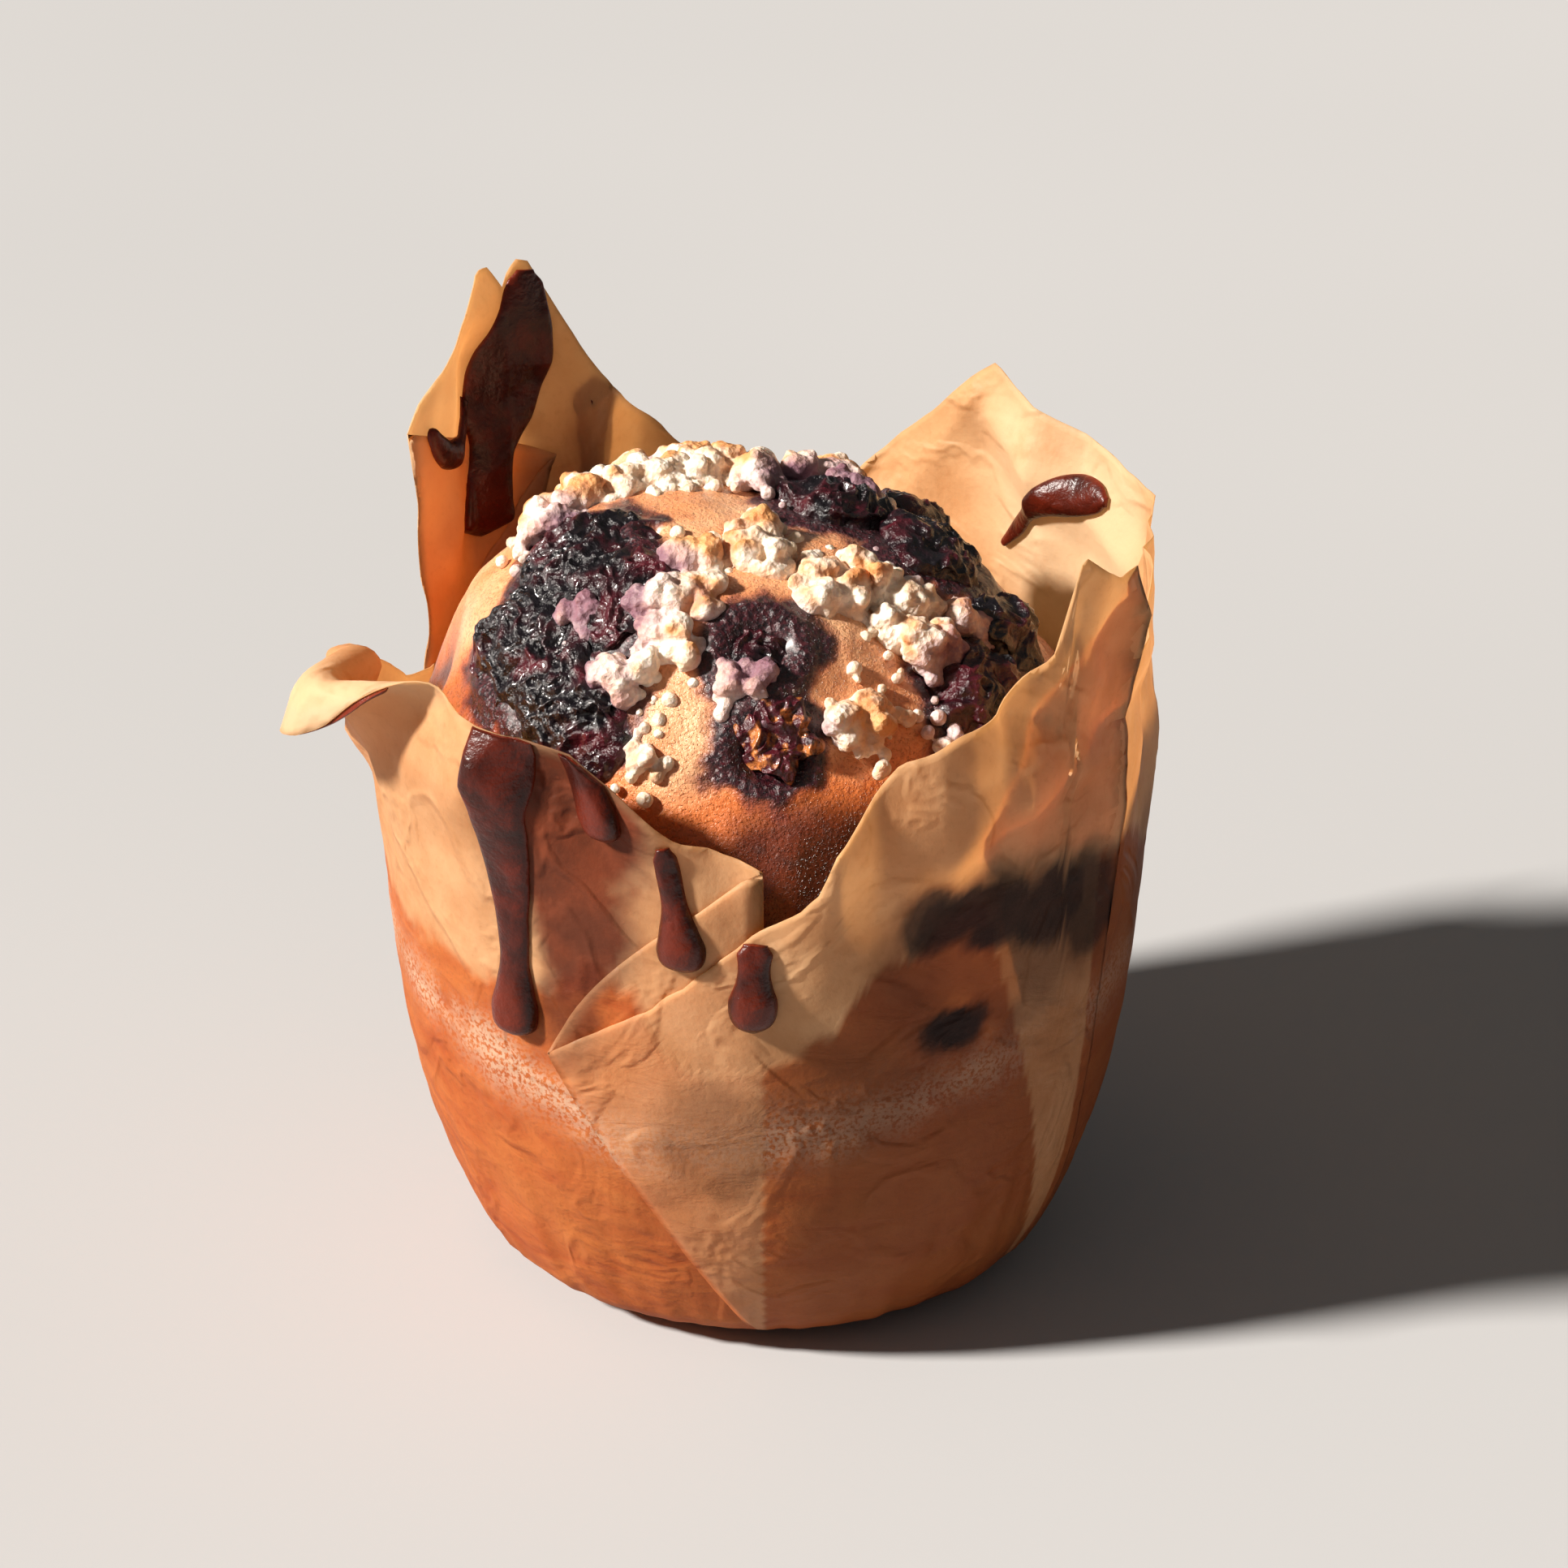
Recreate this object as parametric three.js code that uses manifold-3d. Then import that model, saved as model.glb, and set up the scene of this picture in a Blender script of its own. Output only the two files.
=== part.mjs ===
// A blueberry crumble muffin in a folded square of baking paper, in millimetres, +Z up.
// The origin is the middle of the flat bottom that it stands on. +X is the viewer's right, -Y the front.
//
// The baking paper was pressed into a tin as four corner panels. The front-right and back-left panels
// lie outside at both of their pleats, the front-left and back-right panels lie inside.
// Places on the wall are written as an angle round Z, in degrees from +X, and a height.
import * as THREE from "three";
import { mergeVertices } from "three/addons/utils/BufferGeometryUtils.js";
import Module from "manifold-3d";

const wasm = await Module();
wasm.setup();

// ---------------------------------------------------------------- driving dimensions
const GAP = 0.3; // clearance between pieces that touch
const BASE_RADIUS = 26; // where the wall of the paper cup starts
const CORNER = 4; // radius of the rounded edge under the wall
const WALL_FLARE = 12.2; // how far the wall swells outwards
const FLARE_HEIGHT = 16; // height over which it swells
const PAPER = 0.8; // thickness of one modelled layer of paper
const LAYER_STEP = 0.5; // how far an outer panel stands outside an inner one
const PANEL_HEIGHTS = [3, 6.5, 11, 17, 24, 33]; // heights of the rows that all panels share
const BASE_INSET = 0.15; // how far the cup's round base lies inside the faces of the panels
const COLUMN_STEP = 9; // widest column of a panel, in degrees
const UPPER_ROWS = [0.25, 0.5, 0.75, 1]; // shares of the way from the last of them to the rim
const CURL_ROWS = [0.25, 0.5, 0.7, 0.78, 0.85, 0.92, 1]; // closer together where the corner bends

const DOME_FOOT = 34; // height where the dome leaves the paper
const DOME_RADIUS = 35.4;
const DOME_HEIGHT = 42.5;
const DOME_POWER = 2.35; // roundness of the dome's shoulder, 2 is an ellipse
const DOME_TILT = 0.09; // how much lower the dome is on the right
const DOME_SHIFT = -2; // how far its top leans to the left
const BODY_COLUMNS = 40;

const CURL_RADIUS = 3.2; // of the paper corner that bends outwards
const CURL_TURN = THREE.MathUtils.degToRad(130);

// ---------------------------------------------------------------- helpers
const toRad = THREE.MathUtils.degToRad;

// Straight-line interpolation in a list of [position, value] rows that run one way.
function along(rows, position) {
  const up = rows[rows.length - 1][0] > rows[0][0];
  const ordered = up ? rows : [...rows].reverse();
  if (position <= ordered[0][0]) return ordered[0][1];
  for (let i = 1; i < ordered.length; i++) {
    const [x0, y0] = ordered[i - 1];
    const [x1, y1] = ordered[i];
    if (position <= x1) return y0 + ((y1 - y0) * (position - x0)) / (x1 - x0);
  }
  return ordered[ordered.length - 1][1];
}

// A closed skin from two grids of points with the same size: the front faces outwards, the back is
// its other side, and a rim joins them all round.
function closedPatch(front, back) {
  const rows = front.length;
  const columns = front[0].length;
  const positions = [];
  for (const grid of [front, back]) {
    for (const row of grid) for (const p of row) positions.push(p.x, p.y, p.z);
  }
  const f = (i, j) => i * columns + j;
  const b = (i, j) => rows * columns + i * columns + j;
  const index = [];
  const quad = (a, c, d, e) => index.push(a, c, d, a, d, e);
  for (let i = 0; i + 1 < rows; i++) {
    for (let j = 0; j + 1 < columns; j++) {
      quad(f(i, j), f(i, j + 1), f(i + 1, j + 1), f(i + 1, j));
      quad(b(i, j), b(i + 1, j), b(i + 1, j + 1), b(i, j + 1));
    }
    quad(f(i, 0), f(i + 1, 0), b(i + 1, 0), b(i, 0));
    quad(f(i + 1, columns - 1), f(i, columns - 1), b(i, columns - 1), b(i + 1, columns - 1));
  }
  for (let j = 0; j + 1 < columns; j++) {
    quad(f(0, j + 1), f(0, j), b(0, j), b(0, j + 1));
    quad(f(rows - 1, j), f(rows - 1, j + 1), b(rows - 1, j + 1), b(rows - 1, j));
  }
  const geometry = new THREE.BufferGeometry();
  geometry.setAttribute("position", new THREE.Float32BufferAttribute(positions, 3));
  geometry.setIndex(index);
  return geometry;
}

// A manifold solid from a closed geometry. The solid is turned right side out if it was inside out.
function solidOf(geometry) {
  const bare = geometry.clone();
  bare.deleteAttribute("normal");
  bare.deleteAttribute("uv");
  const merged = mergeVertices(bare, 1e-4);
  const triVerts = new Uint32Array(merged.index.array);
  const vertProperties = new Float32Array(merged.attributes.position.array);
  if (signedVolume(vertProperties, triVerts) < 0) {
    for (let i = 0; i < triVerts.length; i += 3) {
      [triVerts[i], triVerts[i + 1]] = [triVerts[i + 1], triVerts[i]];
    }
  }
  return new wasm.Manifold(new wasm.Mesh({ numProp: 3, vertProperties, triVerts }));
}

function signedVolume(points, triangles) {
  const [a, b, c] = [new THREE.Vector3(), new THREE.Vector3(), new THREE.Vector3()];
  let sum = 0;
  for (let i = 0; i < triangles.length; i += 3) {
    a.fromArray(points, triangles[i] * 3);
    b.fromArray(points, triangles[i + 1] * 3);
    c.fromArray(points, triangles[i + 2] * 3);
    sum += a.dot(b.cross(c)) / 6;
  }
  return sum;
}

function geometryOf(solid) {
  const mesh = solid.getMesh();
  const geometry = new THREE.BufferGeometry();
  geometry.setAttribute("position", new THREE.BufferAttribute(new Float32Array(mesh.vertProperties), 3));
  geometry.setIndex(new THREE.BufferAttribute(new Uint32Array(mesh.triVerts), 1));
  return geometry;
}

// The biggest of a cut solid's separate parts.
function largestPart(solid) {
  return solid.decompose().reduce((best, part) => (part.volume() > best.volume() ? part : best));
}

const muffin = new THREE.Group();

function addNode(name, solid, material) {
  const mesh = new THREE.Mesh(geometryOf(solid), material.clone());
  mesh.name = name;
  muffin.add(mesh);
}

const looks = (color, roughness) => new THREE.MeshStandardMaterial({ color, roughness, metalness: 0 });
const PAPER_LOOK = looks(0xd9a46c, 0.75);
const CRUMB_LOOK = looks(0xd9883a, 0.6);
const BERRY_LOOK = looks(0x2a1224, 0.25);
const STREUSEL_LOOK = looks(0xeed3ac, 0.85);
const CHOCOLATE_LOOK = looks(0x46201a, 0.35);

// ---------------------------------------------------------------- the paper cup
// The wall's radius at a height: a swelling curve over a rounded bottom edge.
function wallRadius(z) {
  const swell = WALL_FLARE * (1 - Math.exp(-Math.max(z, 0) / FLARE_HEIGHT));
  const cornerCut = CORNER * Math.max(0, 1 - Math.max(z, 0) / CORNER) ** 2;
  return BASE_RADIUS + swell - cornerCut;
}

// The front-left panel's corner bends outwards above this line.
const CURL_LINE = [[-137, 69.2], [-155, 66], [-170, 63], [-180, 60], [-190, 57], [-197, 54]];

function curlHeight(angle) {
  const inCurl = angle < -137 && angle > -197;
  return inCurl ? along(CURL_LINE, angle) : Infinity;
}

// A point of the front-left panel or of any other wall: offset is how far outside the wall it lies.
function wallPoint(angle, z, offset) {
  const line = curlHeight(angle);
  const past = Math.max(0, z - line);
  const turn = Math.min(past / CURL_RADIUS, CURL_TURN);
  const straight = past - turn * CURL_RADIUS;
  const foot = Math.min(z, line);
  const out = CURL_RADIUS * (1 - Math.cos(turn)) + straight * Math.sin(turn) + offset * Math.cos(turn);
  const up = CURL_RADIUS * Math.sin(turn) + straight * Math.cos(turn) - offset * Math.sin(turn);
  const radius = wallRadius(foot) + out;
  const a = toRad(angle);
  return new THREE.Vector3(radius * Math.cos(a), radius * Math.sin(a), foot + up);
}

// Each panel: its two side folds as angles at a height, its rim as [angle, height] rows from side to
// side, and how far it stands outside the innermost layer.
const PANELS = {
  front_left: {
    from: () => -90,
    to: (z) => -205 - 0.45 * z,
    step: 0,
    upperRows: CURL_ROWS,
    rim: [
      [-90, 57.5], [-102, 59.6], [-106, 62.5], [-117, 67.7], [-135, 69.2], [-143, 71.4], [-151, 73.8],
      [-158, 74.2], [-168, 70.6], [-180, 65], [-190, 58.5], [-197, 54], [-208, 52], [-220, 58], [-236, 68.8],
    ],
  },
  back_right: {
    from: (z) => -31 - 0.52 * z,
    to: () => 105,
    step: 0,
    rim: [
      [-61, 58], [-45, 64], [-27, 71], [-10, 75], [-1.4, 74], [10, 73], [27, 74], [40, 75.4],
      [53.8, 77.8], [65, 70.5], [76.6, 63.6], [90, 55], [105, 50],
    ],
  },
  front_right: {
    from: (z) => -93 - 0.8 * z,
    to: () => -31,
    step: LAYER_STEP,
    rim: [
      [-121.8, 36], [-106, 42.6], [-90.6, 51.7], [-83, 56.5], [-81, 60.6], [-71.6, 68.5], [-49, 73.8],
      [-46, 75.4], [-45, 84], [-31, 79.8],
    ],
  },
  back_left: {
    from: (z) => 105 - 0.42 * z,
    to: () => 155,
    step: LAYER_STEP,
    rim: [
      [84, 50], [95, 61], [105.4, 69.1], [115.6, 76.3], [122, 82.5], [126.9, 88.9], [131, 87],
      [134.9, 90], [141, 86], [146.5, 82.7], [155, 77.4],
    ],
  },
};

// The rim rows with extra columns, so that no column is wider than COLUMN_STEP.
function fineRim(rim) {
  const rows = [rim[0]];
  for (let i = 1; i < rim.length; i++) {
    const [a0, z0] = rim[i - 1];
    const [a1, z1] = rim[i];
    const pieces = Math.ceil(Math.abs(a1 - a0) / COLUMN_STEP);
    for (let k = 1; k <= pieces; k++) {
      const t = k / pieces;
      rows.push([a0 + (a1 - a0) * t, z0 + (z1 - z0) * t]);
    }
  }
  return rows;
}

// One corner panel: columns rise from the cup's base to the rim, spread evenly between its two folds.
function panelSolid(panel) {
  const columns = fineRim(panel.rim);
  const last = PANEL_HEIGHTS[PANEL_HEIGHTS.length - 1];
  const upper = (panel.upperRows ?? UPPER_ROWS).map((t) => (top) => last + (top - last) * t);
  const rows = [...PANEL_HEIGHTS.map((z) => () => z), ...upper];
  const grid = (offset) =>
    rows.map((height) =>
      columns.map(([angle, top]) => {
        const share = (angle - panel.from(top)) / (panel.to(top) - panel.from(top));
        const z = height(top);
        return wallPoint(panel.from(z) + share * (panel.to(z) - panel.from(z)), z, offset);
      })
    );
  return solidOf(closedPatch(grid(panel.step), grid(panel.step - PAPER)));
}

// The round base of the cup: a flat bottom, the rounded edge and the lowest part of the wall.
function cupBaseSolid() {
  const heights = [0, 0.4, 1.2, 2.4, 4, 6];
  const outside = heights.map((z) => new THREE.Vector2(wallRadius(z) - BASE_INSET, z));
  const inward = PAPER - BASE_INSET;
  const inside = heights.slice(2).reverse().map((z) => new THREE.Vector2(wallRadius(z) - inward, z));
  const floorEdge = new THREE.Vector2(wallRadius(PAPER) - inward, PAPER);
  const profile = [new THREE.Vector2(0, 0), ...outside, ...inside, floorEdge, new THREE.Vector2(0, PAPER)];
  const lathe = new THREE.LatheGeometry(profile, BODY_COLUMNS);
  return solidOf(lathe.rotateX(Math.PI / 2));
}

function paperSolid() {
  return Object.values(PANELS).reduce((cup, panel) => cup.add(panelSolid(panel)), cupBaseSolid());
}

// ---------------------------------------------------------------- the muffin
// The height of the dome over a point: a rounded dome that leans left and drops to the right.
function domeHeight(x, y) {
  let height = DOME_FOOT;
  for (let pass = 0; pass < 12; pass++) {
    const rise = Math.max(0, (height - DOME_FOOT) / DOME_HEIGHT);
    const share = Math.hypot(x - DOME_SHIFT * rise * rise, y) / DOME_RADIUS;
    const level = Math.max(0, 1 - share ** DOME_POWER) ** (1 / DOME_POWER);
    height = DOME_FOOT + level * (DOME_HEIGHT - DOME_TILT * x);
  }
  return height;
}

function domeNormal(x, y) {
  const step = 0.5;
  const slopeX = (domeHeight(x + step, y) - domeHeight(x - step, y)) / (2 * step);
  const slopeY = (domeHeight(x, y + step) - domeHeight(x, y - step)) / (2 * step);
  return new THREE.Vector3(-slopeX, -slopeY, 1).normalize();
}

// The baked muffin before its toppings: it fills the paper up to the dome's foot, then the dome,
// with all of it grown by extra.
function bodySolid(extra) {
  const wallHeights = [1.1, 1.6, 2.6, 4, 7, 11, 16, 22, 28, DOME_FOOT];
  const domeShares = [1, 0.985, 0.95, 0.9, 0.82, 0.72, 0.6, 0.45, 0.28, 0.1];
  const rings = [];
  const inset = PAPER + GAP - extra;
  const domeRadius = DOME_RADIUS + extra;
  const domeHigh = DOME_HEIGHT + extra;
  for (const z of wallHeights) {
    rings.push((c, s) => [(wallRadius(z) - inset) * c, (wallRadius(z) - inset) * s, z]);
  }
  for (const share of domeShares.slice(1)) {
    const level = (1 - share ** DOME_POWER) ** (1 / DOME_POWER);
    rings.push((c, s) => {
      const x = domeRadius * share * c + DOME_SHIFT * level * level;
      return [x, domeRadius * share * s, DOME_FOOT + level * (domeHigh - DOME_TILT * x)];
    });
  }
  const positions = [0, 0, wallHeights[0]];
  for (const ring of rings) {
    for (let j = 0; j < BODY_COLUMNS; j++) {
      const a = (2 * Math.PI * j) / BODY_COLUMNS;
      positions.push(...ring(Math.cos(a), Math.sin(a)));
    }
  }
  positions.push(DOME_SHIFT, 0, DOME_FOOT + domeHigh - DOME_TILT * DOME_SHIFT);
  const index = [];
  const at = (i, j) => 1 + i * BODY_COLUMNS + (j % BODY_COLUMNS);
  const top = 1 + rings.length * BODY_COLUMNS;
  for (let j = 0; j < BODY_COLUMNS; j++) {
    index.push(0, at(0, j + 1), at(0, j));
    for (let i = 0; i + 1 < rings.length; i++) {
      index.push(at(i, j), at(i, j + 1), at(i + 1, j + 1), at(i, j), at(i + 1, j + 1), at(i + 1, j));
    }
    index.push(at(rings.length - 1, j), at(rings.length - 1, j + 1), top);
  }
  const geometry = new THREE.BufferGeometry();
  geometry.setAttribute("position", new THREE.Float32BufferAttribute(positions, 3));
  geometry.setIndex(index);
  return solidOf(geometry);
}

// ---------------------------------------------------------------- berries
// A burst berry: an uneven flattened ball, sunk in the dome. x and y place it, wide and long are its
// half sizes along the dome, high is its half height, turn is its angle round the dome's normal, and
// out is how far its middle stands above the dome.
const BERRIES = {
  berry_left_upper: { x: -17.5, y: -7, wide: 5.6, long: 4.4, high: 2.6, turn: 20, out: -0.6 },
  berry_left_middle: { x: -22.6, y: -13.4, wide: 5.2, long: 4.8, high: 2.8, turn: 70, out: -0.7 },
  berry_left_inner: { x: -13.2, y: -13.6, wide: 4.6, long: 4, high: 2.6, turn: -30, out: -0.8 },
  berry_left_lower: { x: -18.2, y: -21.4, wide: 5.2, long: 4.6, high: 2.8, turn: 10, out: -0.8 },
  berry_top: { x: 7, y: 4, wide: 5.4, long: 4.4, high: 3, turn: -20, out: 0 },
  berry_top_right: { x: 15.6, y: 0.4, wide: 5.4, long: 4.6, high: 3, turn: 30, out: 0 },
  berry_right_shoulder: { x: 23, y: -5.6, wide: 4.4, long: 4.2, high: 2.4, turn: 0, out: -0.8 },
  berry_right: { x: 20.4, y: -15.4, wide: 5.4, long: 4.4, high: 2.6, turn: 40, out: -0.8 },
  berry_middle: { x: -0.2, y: -20.2, wide: 4, long: 3, high: 2.2, turn: 0, out: -0.8 },
  berry_front: { x: 0.8, y: -27, wide: 4.6, long: 3.2, high: 2.2, turn: 10, out: -1.2 },
  berry_back_left: { x: -15, y: 19.5, wide: 5, long: 4.4, high: 2.6, turn: 25, out: -0.6 },
  berry_back_right: { x: 14.5, y: 19, wide: 5.2, long: 4.6, high: 2.8, turn: -35, out: -0.6 },
};

function lumpyBall(detail, amount, phase) {
  const ball = new THREE.IcosahedronGeometry(1, detail);
  const p = ball.attributes.position;
  const v = new THREE.Vector3();
  for (let i = 0; i < p.count; i++) {
    v.fromBufferAttribute(p, i);
    const wave = Math.sin(3 * v.x + phase) * Math.sin(4 * v.y + 2 * phase) + Math.sin(5 * v.z - phase) / 2;
    v.multiplyScalar(1 + amount * wave);
    p.setXYZ(i, v.x, v.y, v.z);
  }
  return ball;
}

// Turns a geometry so that its Z follows the dome's normal at x, y, and moves it onto the dome.
function setOnDome(geometry, x, y, turn, out) {
  const normal = domeNormal(x, y);
  const lean = new THREE.Quaternion().setFromUnitVectors(new THREE.Vector3(0, 0, 1), normal);
  const place = new THREE.Vector3(x, y, domeHeight(x, y)).addScaledVector(normal, out);
  geometry.rotateZ(toRad(turn)).applyQuaternion(lean);
  return geometry.translate(place.x, place.y, place.z);
}

function berrySolid(berry, phase, extra) {
  const ball = lumpyBall(1, 0.07, phase);
  ball.scale(berry.wide + extra, berry.long + extra, berry.high + extra);
  return solidOf(setOnDome(ball, berry.x, berry.y, berry.turn, berry.out));
}

// ---------------------------------------------------------------- streusel
// A streusel crumble: count nuggets of size nugget that stick together in a zigzag, on the dome at
// x, y. turn is the zigzag's direction.
const STREUSEL = {
  streusel_crown_left: { x: -11.4, y: 7.5, count: 3, nugget: 3, turn: 15 },
  streusel_crown_right: { x: -3.2, y: 9.2, count: 3, nugget: 3, turn: -10 },
  streusel_upper_left: { x: -19.4, y: 2.4, count: 3, nugget: 2.9, turn: 60 },
  streusel_high: { x: -0.8, y: -8.4, count: 3, nugget: 2.7, turn: 100 },
  streusel_centre: { x: -7.2, y: -15.4, count: 4, nugget: 2.9, turn: 60 },
  streusel_right_inner: { x: 5.4, y: -12.4, count: 3, nugget: 2.7, turn: 20 },
  streusel_right_outer: { x: 13, y: -12, count: 4, nugget: 2.9, turn: -60 },
  streusel_middle: { x: -2.4, y: -23.4, count: 3, nugget: 2, turn: 30 },
  streusel_ball: { x: -12.4, y: -21.6, count: 1, nugget: 2.9, turn: 0 },
  streusel_low: { x: -11.2, y: -26.4, count: 1, nugget: 1.7, turn: 60 },
  streusel_left_small: { x: -16.8, y: -14.6, count: 2, nugget: 1.8, turn: -60 },
  streusel_front_right: { x: 8.6, y: -23.6, count: 2, nugget: 2.1, turn: 10 },
  streusel_right_crumb: { x: 19.2, y: -9.2, count: 3, nugget: 1.7, turn: -50 },
  streusel_rim_crumb: { x: 17, y: -21.4, count: 1, nugget: 1.4, turn: 0 },
  streusel_back_left: { x: -7.5, y: 19, count: 3, nugget: 2.7, turn: 20 },
  streusel_back_right: { x: 6.4, y: 11, count: 3, nugget: 2.8, turn: -30 },
  streusel_back_low: { x: 1.5, y: 25.6, count: 2, nugget: 2.1, turn: 10 },
};
const NUGGET_SINK = 0.25; // share of a nugget's size that its middle stands above the dome
const NUGGET_STEP = 0.85; // share of a nugget's size from one to the next along the zigzag
const NUGGET_SWING = 0.4; // share of a nugget's size that it stands to the side

function streuselSolid(crumble, phase, extra) {
  const turn = toRad(crumble.turn);
  const parts = [];
  for (let k = 0; k < crumble.count; k++) {
    const step = (k - (crumble.count - 1) / 2) * NUGGET_STEP * crumble.nugget;
    const swing = (crumble.count > 1 ? 1 : 0) * (k % 2 ? 1 : -1) * NUGGET_SWING * crumble.nugget;
    const size = crumble.nugget * (1 - 0.16 * Math.abs(Math.sin(2.1 * k + phase)));
    const x = crumble.x + step * Math.cos(turn) - swing * Math.sin(turn);
    const y = crumble.y + step * Math.sin(turn) + swing * Math.cos(turn);
    const nugget = lumpyBall(1, 0.1, phase + k).scale(size + extra, size * 0.92 + extra, size * 0.9 + extra);
    parts.push(solidOf(setOnDome(nugget, x, y, 37 * k, size * NUGGET_SINK)));
  }
  return parts.reduce((all, one) => all.add(one));
}

// ---------------------------------------------------------------- chocolate
// A run of chocolate on the paper: rows of [angle, height, half width, thickness] from its top to its
// tip. side is 1 on the outside of the paper and -1 on the inside, and face is how far that face of
// the paper lies outside the wall.
const OUTER_FACE_INNER_PANEL = 0;
const OUTER_FACE_OUTER_PANEL = LAYER_STEP;
const INNER_FACE = -PAPER;
const CURLED_FACE = 1.3; // clears the flats between the rows of the bend
const CHOCOLATE = {
  chocolate_long_run: {
    side: 1,
    face: OUTER_FACE_INNER_PANEL,
    rows: [
      [-127, 68, 5.2, 0.8], [-127, 64.5, 4.9, 1.2], [-127.4, 60, 3.6, 1.3], [-127.9, 55, 2.6, 1.2],
      [-128, 50, 1.8, 1.1], [-128, 45, 1.5, 1.1], [-128, 42, 2.1, 1.6], [-128.2, 39.4, 2.5, 2],
      [-128.4, 37.4, 1.8, 1.6], [-128.5, 36.3, 0.6, 0.7],
    ],
  },
  chocolate_short_run: {
    side: 1,
    face: OUTER_FACE_INNER_PANEL,
    rows: [
      [-115.6, 66.4, 1.2, 0.8], [-114.6, 64.4, 1.8, 1.2], [-113.4, 62, 2.6, 1.9], [-112.9, 60.3, 2.1, 1.6],
      [-112.8, 59.2, 0.7, 0.7],
    ],
  },
  chocolate_slim_run: {
    side: 1,
    face: OUTER_FACE_INNER_PANEL,
    rows: [
      [-103.6, 59, 0.9, 0.8], [-102.8, 56, 1, 1], [-102, 53, 1.4, 1.3], [-101.4, 50, 2.2, 1.9],
      [-101.4, 48.2, 1.9, 1.6], [-101.5, 47, 0.6, 0.7],
    ],
  },
  chocolate_flap_run: {
    side: 1,
    face: OUTER_FACE_OUTER_PANEL,
    rows: [
      [-91, 49.6, 1.6, 0.8], [-91.2, 47.6, 1.3, 1.1], [-91.4, 45.2, 2.1, 1.8], [-91.4, 43, 1.9, 1.7],
      [-91.4, 41.5, 0.6, 0.7],
    ],
  },
  chocolate_curl_edge: {
    side: 1,
    face: CURLED_FACE,
    rows: [
      [-166, 69.2, 0.6, 0.6], [-162, 71.4, 1.5, 0.9], [-157, 72.6, 1.8, 1], [-151, 72, 1.2, 0.8],
      [-147, 71.2, 0.5, 0.6],
    ],
  },
  chocolate_tall_run: {
    side: -1,
    face: INNER_FACE,
    rows: [
      [127, 87.6, 1.2, 0.8], [127.9, 85, 2.8, 1], [129.2, 81, 4.8, 1.2], [131.4, 77.5, 4.6, 1.3],
      [132.8, 74, 3.8, 1.3], [133.6, 71.4, 3, 1.3], [135.4, 67.4, 2.7, 1.6], [136, 64.4, 3.6, 2],
      [136.2, 62.4, 2.8, 1.7], [136.3, 61.2, 0.7, 0.7],
    ],
  },
  chocolate_side_run: {
    side: -1,
    face: INNER_FACE,
    rows: [
      [139.6, 75.6, 1.1, 0.9], [142.4, 74, 1.4, 1.1], [145.4, 73.4, 1.6, 1.2], [148.4, 74.4, 1.4, 1],
      [150.4, 76.4, 0.6, 0.6],
    ],
  },
  chocolate_back_spot: {
    side: -1,
    face: INNER_FACE,
    rows: [
      [28.6, 68.6, 0.7, 0.7], [31, 68.2, 2.1, 1.3], [36, 67.2, 2.5, 1.6], [41, 65.6, 2, 1.4],
      [44.4, 63.4, 0.9, 0.9], [48.6, 60.4, 0.5, 0.6],
    ],
  },
  chocolate_rear_run: {
    side: 1,
    face: OUTER_FACE_OUTER_PANEL,
    rows: [
      [118, 74, 1.8, 0.8], [118, 70, 1.6, 1.2], [118.3, 64, 1.3, 1.2], [118.6, 60, 2.2, 1.9],
      [118.6, 58.2, 1.8, 1.6], [118.6, 57, 0.6, 0.7],
    ],
  },
};
const RUN_COLUMNS = [-1, -0.8, -0.4, 0, 0.4, 0.8, 1];
const EDGE_THICKNESS = 0.3; // of a run at its sides

// The rows go along the run, the columns across it, and the front is a low rounded bead.
function runSolid(run) {
  const { rows, side, face } = run;
  const front = [];
  const back = [];
  rows.forEach(([angle, z, half, thick], i) => {
    const before = rows[Math.max(0, i - 1)];
    const after = rows[Math.min(rows.length - 1, i + 1)];
    const rise = after[1] - before[1];
    const sideways = toRad(after[0] - before[0]) * wallRadius(z);
    const length = Math.hypot(rise, sideways);
    const across = [-rise / length, sideways / length]; // along the wall, then up
    const point = (share, offset) => {
      const shift = THREE.MathUtils.radToDeg((across[0] * half * share) / wallRadius(z));
      return wallPoint(angle + shift, z + across[1] * half * share, offset);
    };
    const lift = (share) => EDGE_THICKNESS + (thick - EDGE_THICKNESS) * Math.sqrt(1 - share * share);
    front.push(RUN_COLUMNS.map((share) => point(share, face + side * (GAP + lift(share)))));
    back.push(RUN_COLUMNS.map((share) => point(share, face + side * GAP)));
  });
  return solidOf(closedPatch(front, back));
}

// ---------------------------------------------------------------- the whole
addNode("paper_wrapper", paperSolid(), PAPER_LOOK);

// The streusel lies on the dome. A berry gives way to the toppings before it, and the muffin has a
// pocket for each berry.
const taken = [];
const pockets = [];
const dome = bodySolid(GAP);
const makers = [];
for (const [name, crumble] of Object.entries(STREUSEL)) {
  const make = (seed, extra) => streuselSolid(crumble, seed, extra).subtract(dome);
  makers.push({ name, make, material: STREUSEL_LOOK });
}
for (const [name, berry] of Object.entries(BERRIES)) {
  const make = (seed, extra) => berrySolid(berry, seed, extra);
  makers.push({ name, make, material: BERRY_LOOK, sunk: true });
}
makers.forEach(({ name, make, material, sunk }, seed) => {
  const cut = taken.reduce((left, other) => left.subtract(other), make(seed, 0));
  addNode(name, largestPart(cut), material);
  const grown = make(seed, GAP);
  taken.push(grown);
  if (sunk) pockets.push(grown);
});
addNode("muffin_crumb", pockets.reduce((left, pocket) => left.subtract(pocket), bodySolid(0)), CRUMB_LOOK);

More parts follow.
